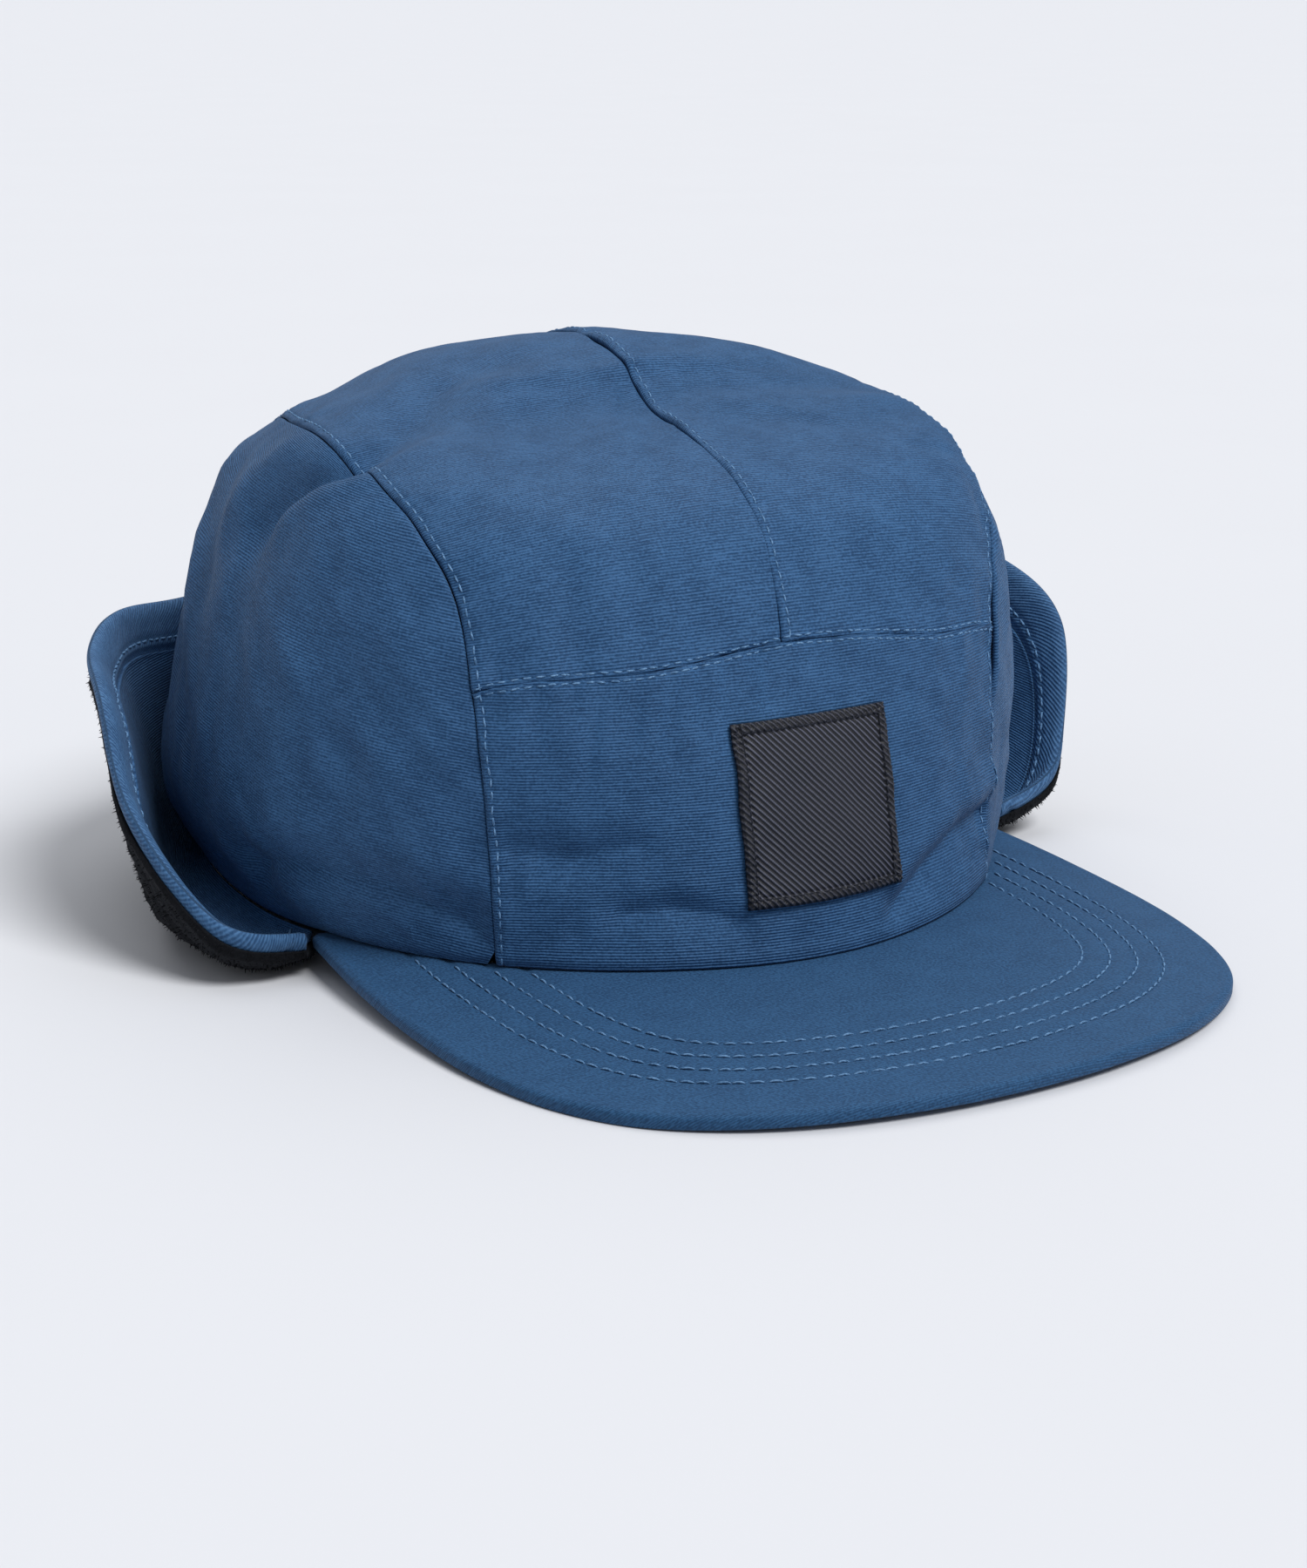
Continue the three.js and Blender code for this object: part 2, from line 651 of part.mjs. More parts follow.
// The flap's surface at a share along and a distance from the free edge or from the hem,
// moved off by a height: positive on the fleece's side, negative towards the crown.
function flapPoint(share, across, height) {
  const nudge = 0.002;
  const here = evenSection(share);
  const distance = across(here.total);
  const point = here.pointAt(distance);
  const step = 0.6;
  const alongSection = here.pointAt(Math.min(distance + step, here.total));
  alongSection.sub(here.pointAt(Math.max(distance - step, 0)));
  const ahead = evenSection(Math.min(share + nudge, 1));
  const behind = evenSection(Math.max(share - nudge, -1));
  const alongEdge = ahead.pointAt(across(ahead.total)).sub(behind.pointAt(across(behind.total)));
  const normal = alongSection.cross(alongEdge).normalize();
  return point.addScaledVector(normal, height);
}

function flapShare(i) {
  return THREE.MathUtils.lerp(-flap.endShare, flap.endShare, i / steps.flapAlong);
}

function bandReach(total) {
  return Math.min(flap.bandWidth, total * 0.55);
}

function flapShell() {
  const half = flap.shellThickness / 2;
  const place = (i, j, layer) => {
    const across = (total) => (total - bandReach(total) - flap.bandGap) * j / steps.shellAcross;
    return flapPoint(flapShare(i), across, layer === 0 ? half : -half);
  };
  return sheetGeometry(steps.flapAlong, steps.shellAcross, place);
}

function flapFleece() {
  const inner = flap.shellThickness / 2 + flap.layerGap;
  const place = (i, j, layer) => {
    const across = (total) => {
      const end = total - bandReach(total) - flap.bandGap;
      return THREE.MathUtils.lerp(Math.min(flap.fleeceStart, end * 0.2), end, j / steps.fleeceAcross);
    };
    const height = layer === 0 ? inner + flap.fleeceThickness : inner;
    return flapPoint(flapShare(i), across, height);
  };
  return sheetGeometry(steps.flapAlong, steps.fleeceAcross, place);
}

// The band is a thick rounded strip that closes the free edge over shell and fleece. Its
// thickness across, as shares of the whole, from its sewn side to the free edge.
const bandRounding = [0.55, 1, 0.97, 0.5];

function flapBand() {
  const half = flap.bandThickness / 2;
  const place = (i, j, layer) => {
    const inBand = j / steps.bandAcross;
    const round = bandRounding[j];
    const across = (total) => total - bandReach(total) * (1 - inBand);
    const side = layer === 0 ? half : -half;
    return flapPoint(flapShare(i), across, flap.bandOffset + side * round);
  };
  return sheetGeometry(steps.flapAlong, steps.bandAcross, place);
}

// The assembled cap

function buildCap() {
  const cap = new THREE.Group();
  const cloth = 0.8;
  cap.add(namedMesh('front_panel', frontPanel(), colours.crown, cloth));
  cap.add(namedMesh('top_panel_left', topPanel(1), colours.crown, cloth));
  cap.add(namedMesh('top_panel_right', topPanel(-1), colours.crown, cloth));
  cap.add(namedMesh('side_panel_left', sidePanel(1), colours.crown, cloth));
  cap.add(namedMesh('side_panel_right', sidePanel(-1), colours.crown, cloth));
  cap.add(namedMesh('brim', brimBoard(), colours.brim, cloth));
  cap.add(namedMesh('patch', patchSquare(), colours.patch, 0.7));
  cap.add(namedMesh('earflap_shell', flapShell(), colours.flap, cloth));
  cap.add(namedMesh('earflap_band', flapBand(), colours.flap, cloth));
  cap.add(namedMesh('earflap_fleece', flapFleece(), colours.fleece, 1));
  const box = new THREE.Box3().setFromObject(cap);
  const middle = box.getCenter(new THREE.Vector3());
  cap.position.set(-middle.x, -middle.y, -box.min.z);
  return cap;
}

export default buildCap();
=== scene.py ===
import math
import bpy
import numpy as np
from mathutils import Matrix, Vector


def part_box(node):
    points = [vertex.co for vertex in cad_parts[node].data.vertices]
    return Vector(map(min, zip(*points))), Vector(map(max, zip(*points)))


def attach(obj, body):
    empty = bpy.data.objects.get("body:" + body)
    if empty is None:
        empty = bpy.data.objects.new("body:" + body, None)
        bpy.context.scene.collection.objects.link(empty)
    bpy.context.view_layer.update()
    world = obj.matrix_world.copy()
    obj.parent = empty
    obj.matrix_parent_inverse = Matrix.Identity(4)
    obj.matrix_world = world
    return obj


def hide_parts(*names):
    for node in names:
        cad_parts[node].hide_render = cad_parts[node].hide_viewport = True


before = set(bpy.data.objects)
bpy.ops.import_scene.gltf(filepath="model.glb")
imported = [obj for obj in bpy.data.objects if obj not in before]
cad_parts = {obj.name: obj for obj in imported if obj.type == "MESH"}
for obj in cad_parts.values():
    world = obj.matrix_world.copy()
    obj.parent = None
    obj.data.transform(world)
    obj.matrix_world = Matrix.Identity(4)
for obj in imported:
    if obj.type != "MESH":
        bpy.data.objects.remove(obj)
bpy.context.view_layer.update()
print("frame loaded")

mm = 0.001
uvUnit = 100.0            # mm of cloth for one unit of a piece's UV map
samplesPerKnot = 60       # fine steps between two knots of a curve

# Lengths below are in mm from the middle of the crown's hem. The brim's box says where the
# packed cap has that point.
brimFrontY = -167.6
brimLow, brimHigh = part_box("brim")
capShift = np.array([
    (brimLow[0] + brimHigh[0]) / 2 / mm,
    brimLow[1] / mm - brimFrontY,
    0,
])


# Curves and noise

def smoothStep(low, high, value):
    # 3 t^2 - 2 t^3, where t is the value's share of the way from low to high, held in 0 to 1
    t = np.clip((value - low) / (high - low), 0, 1)
    return t * t * (3 - 2 * t)


def bell(distance, halfWidth):
    # e to the minus square of distance over half width
    return np.exp(-(distance / halfWidth) ** 2)


def smoothColumn(places, values, where, flatEnd=False):
    # A cubic between each two rows of a table, with the slope of the rows on either side
    slopes = np.empty(len(values))
    slopes[1:-1] = (values[2:] - values[:-2]) / (places[2:] - places[:-2])
    slopes[0] = (values[1] - values[0]) / (places[1] - places[0])
    slopes[-1] = 0 if flatEnd else (values[-1] - values[-2]) / (places[-1] - places[-2])
    i = np.clip(np.searchsorted(places, where) - 1, 0, len(places) - 2)
    span = places[i + 1] - places[i]
    t = (where - places[i]) / span
    fromStart = values[i] * (2 * t ** 3 - 3 * t ** 2 + 1) + slopes[i] * span * (t ** 3 - 2 * t ** 2 + t)
    fromEnd = values[i + 1] * (3 * t ** 2 - 2 * t ** 3) + slopes[i + 1] * span * (t ** 3 - t ** 2)
    return fromStart + fromEnd


def smoothNoise(u, v, seed):
    # Seeded random heights on a whole-number lattice, blended by smoothstep, from -1 to 1
    size = 64
    table = np.random.default_rng(seed).uniform(-1, 1, (size, size))
    i = np.floor(u).astype(int)
    j = np.floor(v).astype(int)
    s = smoothStep(0, 1, u - i)
    t = smoothStep(0, 1, v - j)
    low = table[i % size, j % size] * (1 - s) + table[(i + 1) % size, j % size] * s
    high = table[i % size, (j + 1) % size] * (1 - s) + table[(i + 1) % size, (j + 1) % size] * s
    return low * (1 - t) + high * t


def runLengths(points):
    # The distance run along the last but one axis of points, from 0
    steps = np.linalg.norm(np.diff(points, axis=-2), axis=-1)
    start = np.zeros(steps.shape[:-1] + (1,))
    return np.concatenate([start, np.cumsum(steps, axis=-1)], axis=-1)


def catmullRom(knots, count, centripetal=False):
    # A curve through the knots whose slope at each is that of its neighbours, sampled at
    # count evenly spaced places along it
    knots = np.asarray(knots, float)
    k = np.array([2 * knots[0] - knots[1], *knots, 2 * knots[-1] - knots[-2]])
    power = 0.5 if centripetal else 0.0
    t = np.linspace(0, 1, samplesPerKnot, endpoint=False)[:, None]
    parts = []
    for a, b, c, d in zip(k[:-3], k[1:-2], k[2:-1], k[3:]):
        before, here, after = (max(np.linalg.norm(q - p) ** power, 1e-4)
                               for p, q in ((a, b), (b, c), (c, d)))
        leave = ((b - a) / before - (c - a) / (before + here) + (c - b) / here) * here
        arrive = ((c - b) / here - (d - b) / (here + after) + (d - c) / after) * here
        parts.append(b * (2 * t ** 3 - 3 * t ** 2 + 1) + c * (3 * t ** 2 - 2 * t ** 3)
                     + leave * (t ** 3 - 2 * t ** 2 + t) + arrive * (t ** 3 - t ** 2))
    return evenly(np.concatenate([*parts, knots[-1:]]), count)


def evenly(curve, count):
    # The same curve at count places evenly spaced by length
    run = runLengths(curve)
    want = np.linspace(0, run[-1], count)
    return np.stack([np.interp(want, run, curve[:, axis]) for axis in range(curve.shape[1])], axis=1)


def alongRows(curves, distances):
    # The points at these distances along each of a stack of curves, by straight parts
    run = runLengths(curves)
    k = (run[:, :, None] < distances[:, None, :]).sum(axis=1)
    k = np.clip(k, 1, curves.shape[1] - 1)
    before = np.take_along_axis(run, k - 1, axis=1)
    after = np.take_along_axis(run, k, axis=1)
    t = ((distances - before) / np.maximum(after - before, 1e-9))[..., None]
    low = np.take_along_axis(curves, (k - 1)[..., None], axis=1)
    high = np.take_along_axis(curves, k[..., None], axis=1)
    return low * (1 - t) + high * t


def unit(vectors):
    return vectors / np.maximum(np.linalg.norm(vectors, axis=-1, keepdims=True), 1e-12)


def gridNormals(grid):
    # The cross product of a grid's two directions, columns first
    return unit(np.cross(np.gradient(grid, axis=1), np.gradient(grid, axis=0)))


def crowdedSteps(count, crowding):
    # Places from 0 to 1, closer together at both ends: t - c sin(2 pi t) / (2 pi)
    t = np.linspace(0, 1, count)
    return t - crowding * np.sin(2 * math.pi * t) / (2 * math.pi)


# Meshes from arrays

def gridQuads(rows, columns, wrap=False):
    # Four corners for each cell of a grid of points
    at = np.arange(rows * columns).reshape(rows, columns)
    if wrap:
        at = np.concatenate([at, at[:, :1]], axis=1)
    corners = [at[:-1, :-1], at[:-1, 1:], at[1:, 1:], at[1:, :-1]]
    return np.stack(corners, axis=-1).reshape(-1, 4)


def signedVolume(points, quads):
    a, b, c, d = (points[quads[:, k]] for k in range(4))
    return (a * np.cross(b, c)).sum() + (a * np.cross(c, d)).sum()


def putMesh(name, points, quads, uv, material):
    # Writes whole arrays into a mesh, faces turned outward by the sign of its volume
    if signedVolume(points, quads) < 0:
        quads = quads[:, ::-1]
    mesh = bpy.data.meshes.new(name)
    mesh.vertices.add(len(points))
    mesh.vertices.foreach_set("co", ((points + capShift) * mm).astype(np.float32).ravel())
    mesh.loops.add(quads.size)
    mesh.loops.foreach_set("vertex_index", quads.astype(np.int32).ravel())
    mesh.polygons.add(len(quads))
    mesh.polygons.foreach_set("loop_start", np.arange(0, quads.size, 4, dtype=np.int32))
    mesh.polygons.foreach_set("use_smooth", np.ones(len(quads), bool))
    layer = mesh.uv_layers.new(name="cloth")
    layer.data.foreach_set("uv", (uv[quads.ravel()] / uvUnit).astype(np.float32).ravel())
    mesh.update(calc_edges=True)
    mesh.validate()
    mesh.materials.append(material)
    piece = bpy.data.objects.new(name, mesh)
    bpy.context.collection.objects.link(piece)
    return piece


def closedSheet(outer, inner):
    # Joins an outer and an inner grid round their border
    rows, columns = outer.shape[:2]
    size = rows * columns
    at = np.arange(size).reshape(rows, columns)
    top = gridQuads(rows, columns)
    border = np.concatenate([at[0, :-1], at[:-1, -1], at[-1, :0:-1], at[:0:-1, 0]])
    after = np.roll(border, -1)
    rim = np.stack([border, border + size, after + size, after], axis=1)
    quads = np.concatenate([top, top[:, ::-1] + size, rim])
    return np.concatenate([outer.reshape(-1, 3), inner.reshape(-1, 3)]), quads


def closedTube(rings):
    # A wrapped grid with its two ends closed by strips across. Each ring has an even count
    rows, columns = rings.shape[:2]
    quads = [gridQuads(rows, columns, wrap=True)]
    k = np.arange(columns // 2 - 1)
    across = np.stack([k, k + 1, columns - 2 - k, columns - 1 - k], axis=1)
    quads += [across[:, ::-1], across + (rows - 1) * columns]
    return rings.reshape(-1, 3), np.concatenate(quads)


def manyTubes(tubes):
    # Many tubes alike in one mesh, each a stack of rings
    one, quads = closedTube(tubes[0])
    shifts = np.arange(len(tubes))[:, None, None] * len(one)
    return tubes.reshape(-1, 3), (quads[None] + shifts).reshape(-1, 4)


thread = {"rings": 5, "sides": 6, "flatness": 1.15, "stray": 0.12, "skew": 0.5, "taper": 0.72,
          "lengths": (0.88, 1.06)}


def threadStitches(lines, spec, seed):
    # Each stitch is a small tube along its row: it rises out of the cloth, runs along it and
    # goes down again, as a half sine of height along the stitch
    rng = np.random.default_rng(seed)
    t = np.linspace(0, 1, thread["rings"])
    turn = np.arange(thread["sides"]) / thread["sides"] * 2 * math.pi
    allPoints = []
    for points, normals in lines:
        run = runLengths(points)
        count = int(run[-1] / spec["pitch"])
        if count < 1:
            continue
        starts = (np.arange(count) + 0.5) * run[-1] / count
        starts = starts + rng.uniform(-thread["stray"], thread["stray"], count) * spec["pitch"]
        halfLength = spec["length"] / 2 * rng.uniform(*thread["lengths"], count)
        place = starts[:, None] + (t * 2 - 1) * halfLength[:, None]
        centre, up = (np.stack([np.interp(place, run, rows[:, axis]) for axis in range(3)], axis=-1)
                      for rows in (points, normals))
        up = unit(up)
        side = unit(np.cross(unit(centre[:, -1:] - centre[:, :1]), up))
        rise = np.sin(math.pi * t) * spec["rise"] - spec["sink"]
        skew = rng.uniform(-thread["skew"], thread["skew"], (count, 1, 1)) * spec["radius"]
        centre = centre + up * rise[:, None] + side * skew * (t[:, None] - 0.5) * 2
        girth = spec["radius"] * np.sqrt(np.clip(1 - thread["taper"] * (2 * t - 1) ** 4, 0.05, 1))
        ring = (side[:, :, None, :] * np.cos(turn)[:, None] * thread["flatness"]
                + up[:, :, None, :] * np.sin(turn)[:, None])
        allPoints.append(centre[:, :, None, :] + ring * girth[:, None, None])
    return manyTubes(np.concatenate(allPoints))


# Materials

def newMaterial(name):
    material = bpy.data.materials.new(name)
    material.use_nodes = True
    tree = material.node_tree
    return material, tree, tree.nodes["Principled BSDF"]


def addNode(tree, kind, inputs=None, **settings):
    node = tree.nodes.new(kind)
    for key, value in settings.items():
        setattr(node, key, value)
    for key, value in (inputs or {}).items():
        socket = node.inputs[key]
        if isinstance(value, bpy.types.NodeSocket):
            tree.links.new(value, socket)
        else:
            socket.default_value = value
    return node


def maths(tree, operation, *values):
    return addNode(tree, "ShaderNodeMath", dict(enumerate(values)), operation=operation).outputs[0]


def mapped(tree, vector, socket, value):
    return addNode(tree, "ShaderNodeMapping", {"Vector": vector, socket: value}).outputs[0]


def noise(tree, vector, scale, detail):
    inputs = {"Vector": vector, "Scale": scale, "Detail": detail}
    return addNode(tree, "ShaderNodeTexNoise", inputs).outputs["Fac"]


def waves(tree, vector, axis, pitch, wander, detail, detailScale):
    # A sine along one axis of the UV map with its pitch in mm, bent by noise. A wave
    # texture of scale 1 has 20 / (2 pi) waves in a unit
    inputs = {
        "Vector": vector, "Scale": 2 * math.pi / 20 * uvUnit / pitch,
        "Distortion": wander, "Detail": detail, "Detail Scale": detailScale,
    }
    return addNode(tree, "ShaderNodeTexWave", inputs, bands_direction=axis).outputs["Fac"]


def weighted(tree, parts, start):
    # start plus each value, less a half, times its weight
    total = start
    for value, weight in parts:
        total = maths(tree, "MULTIPLY_ADD", maths(tree, "SUBTRACT", value, 0.5), weight, total)
    return total


def baseColour(tree, shader, shade, dark, light):
    # From dark to light with the shade. A Mix node's colour sockets share their names with
    # its number sockets, so they are taken by place
    colour = addNode(tree, "ShaderNodeMix", {"Factor": shade}, data_type="RGBA", clamp_factor=True)
    colour.inputs[6].default_value = (*dark, 1)
    colour.inputs[7].default_value = (*light, 1)
    tree.links.new(colour.outputs[2], shader.inputs["Base Color"])


def surfaceFinish(tree, shader, relief, strength, depth, sockets):
    # The relief, its depth in mm, bends the normal; the rest are the shader's own sockets
    bump = addNode(tree, "ShaderNodeBump", {"Height": relief, "Strength": strength, "Distance": depth * mm})
    tree.links.new(bump.outputs["Normal"], shader.inputs["Normal"])
    for name, value in sockets.items():
        shader.inputs[name].default_value = value


def clothMaterial(name, look):
    # Crosswise ribs are a sine over the UV map's second axis, bent a little by noise; slubs
    # are noise drawn out along the ribs, flecks are fine noise and patches are wide noise. The ribs'
    # part of the base colour is painted shade: darker in each valley, lighter on each ridge
    material, tree, shader = newMaterial(name)
    uv = addNode(tree, "ShaderNodeUVMap", uv_map="cloth").outputs["UV"]
    turned = mapped(tree, uv, "Rotation", (0, 0, look["turn"]))
    drawnOut = mapped(tree, turned, "Scale", (uvUnit / look["slubLength"], uvUnit / look["ribPitch"], 1))
    ribs = waves(tree, turned, "Y", look["ribPitch"], look["ribWander"], 2.0, 0.35)
    slubs = noise(tree, drawnOut, 1.0, 2.0)
    flecks = noise(tree, turned, uvUnit / look["fleckSize"], 1.0)
    patches = noise(tree, uv, uvUnit / look["patchSize"], 3.0)
    # The ribs' part of this mix is painted shade: darker in each rib's valley, lighter on its ridge
    shade = weighted(tree, [(ribs, look["ribShade"]), (slubs, look["slubShade"]),
                            (flecks, look["fleckShade"]), (patches, look["patchShade"])], 0.5)
    baseColour(tree, shader, shade, look["dark"], look["light"])
    relief = weighted(tree, [(ribs, 1.0), (slubs, 0.7), (flecks, 0.5)], 0.5)
    surfaceFinish(tree, shader, relief, look["bump"], look["relief"], {
        "Roughness": look["roughness"], "Specular IOR Level": look["specular"],
        "Sheen Weight": look["sheen"], "Sheen Roughness": 0.5, "Sheen Tint": (*look["sheenTint"], 1),
    })
    return material


crownLook = {
    "dark": (0.010, 0.050, 0.130), "light": (0.041, 0.126, 0.278),
    "turn": 0.0, "ribPitch": 0.64, "ribWander": 1.0, "slubLength": 4.0, "fleckSize": 0.6, "patchSize": 9.0,
    "ribShade": 0.8, "slubShade": 1.3, "fleckShade": 2.2, "patchShade": 1.0,
    "bump": 0.75, "relief": 0.2, "roughness": 0.66, "specular": 0.22,
    "sheen": 0.07, "sheenTint": (0.62, 0.76, 1.0),
}
brimLook = {
    **crownLook, "dark": (0.009, 0.048, 0.122), "light": (0.026, 0.099, 0.222),
    "ribPitch": 0.6, "relief": 0.12,
    "ribShade": 0.5, "slubShade": 0.9, "fleckShade": 3.0, "patchShade": 0.7,
}
# The band is the crown's cloth in lighter colours: painted light, standing in for the light that falls on
# the flap's inner face. Its ribs are turned
litBandLook = {
    **crownLook, "dark": (0.018, 0.066, 0.160), "light": (0.062, 0.160, 0.325),
    "turn": math.radians(38), "ribPitch": 0.7, "ribShade": 0.7, "fleckShade": 1.8,
}
threadLook = {
    **crownLook, "dark": (0.05, 0.13, 0.26), "light": (0.16, 0.31, 0.52),
    "ribPitch": 0.35, "turn": 0.6, "bump": 0.3,
}
crownCloth = clothMaterial("crown_cloth", crownLook)
brimCloth = clothMaterial("brim_cloth", brimLook)
bandCloth = clothMaterial("band_cloth", litBandLook)
blueThread = clothMaterial("blue_thread", threadLook)

patchLook = {
    "dark": (0.005, 0.006, 0.010), "light": (0.155, 0.165, 0.23),
    "turn": math.radians(45), "ribPitch": 1.05, "threadPitch": 0.42, "fleckSize": 0.5, "ridge": 2.6,
    "ribShade": 0.75, "floatShade": 0.14, "fleckShade": 0.5, "startShade": 0.26,
    "bump": 0.8, "relief": 0.25, "roughness": 0.5, "specular": 0.35,
    # the field inside the border: how high its middle lies, its half width, and how much
    # darker the border is
    "middle": 39.75, "field": 17.0, "borderDarkness": 0.55,
}


def twillMaterial(name, look):
    # Diagonal ribs are a sine over the turned UV map, each broken by a finer sine across it,
    # as the floats of a twill are. The border is where the larger of |u| and |v - middle| is
    # beyond the field
    material, tree, shader = newMaterial(name)
    uv = addNode(tree, "ShaderNodeUVMap", uv_map="cloth").outputs["UV"]
    turned = mapped(tree, uv, "Rotation", (0, 0, look["turn"]))
    ribs = waves(tree, turned, "Y", look["ribPitch"], 0.5, 1.0, 0.5)
    floats = waves(tree, turned, "X", look["threadPitch"], 1.5, 1.0, 0.5)
    flecks = noise(tree, turned, uvUnit / look["fleckSize"], 2.0)
    ridge = maths(tree, "POWER", ribs, look["ridge"])
    shade = weighted(tree, [(ridge, look["ribShade"]), (floats, look["floatShade"]),
                            (flecks, look["fleckShade"])], look["startShade"])
    split = addNode(tree, "ShaderNodeSeparateXYZ", {0: uv}).outputs
    aside = maths(tree, "ABSOLUTE", split[0])
    above = maths(tree, "ABSOLUTE", maths(tree, "SUBTRACT", split[1], look["middle"] / uvUnit))
    border = maths(tree, "GREATER_THAN", maths(tree, "MAXIMUM", aside, above), look["field"] / uvUnit)
    keep = maths(tree, "MULTIPLY_ADD", border, -look["borderDarkness"], 1.0)
    baseColour(tree, shader, maths(tree, "MULTIPLY", shade, keep), look["dark"], look["light"])
    relief = weighted(tree, [(ribs, 1.0), (floats, 0.25), (flecks, 0.3)], 0.5)
    surfaceFinish(tree, shader, relief, look["bump"], look["relief"], {
        "Roughness": look["roughness"], "Specular IOR Level": look["specular"],
    })
    return material


def pileMaterial(name, dark, light, size):
    # Fine and wide noise between two near blacks, with a soft sheen from the fibre ends
    material, tree, shader = newMaterial(name)
    coords = addNode(tree, "ShaderNodeTexCoord").outputs["Object"]
    fine = noise(tree, coords, 1 / (size * mm), 3.0)
    wide = noise(tree, coords, 1 / (9 * size * mm), 2.0)
    baseColour(tree, shader, weighted(tree, [(fine, 1.2), (wide, 0.5)], 0.5), dark, light)
    surfaceFinish(tree, shader, fine, 0.7, 0.3, {
        "Roughness": 0.95, "Specular IOR Level": 0.1,
        "Sheen Weight": 0.06, "Sheen Roughness": 0.45, "Sheen Tint": (0.45, 0.5, 0.6, 1),
    })
    return material


patchTwill = twillMaterial("patch_twill", patchLook)
darkThread = pileMaterial("dark_thread", (0.006, 0.007, 0.01), (0.04, 0.044, 0.058), 0.5)
fleecePile = pileMaterial("fleece", (0.002, 0.0023, 0.003), (0.010, 0.011, 0.014), 0.7)
print("materials made")


# Pieces: each follows the cap, and one that stands for a part of the model hides that part

def placePiece(piece, replaced=None):
    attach(piece, "root")
    if replaced:
        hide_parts(replaced)
    return piece


def sheetPiece(name, outer, inner, uv, material, replaced):
    points, quads = closedSheet(outer, inner)
    piece = putMesh(name, points, quads, np.concatenate([uv, uv]), material)
    return placePiece(piece, replaced)


def stitchPiece(name, lines, spec, seed, material):
    points, quads = threadStitches(lines, spec, seed)
    return placePiece(putMesh(name, points, quads, points[:, :2], material))


# The crown's surface. A place on it is given on a disc, the crown pressed flat, whose rim is
# the hem: across to the wearer's left and back, or an angle from the front and a reach.

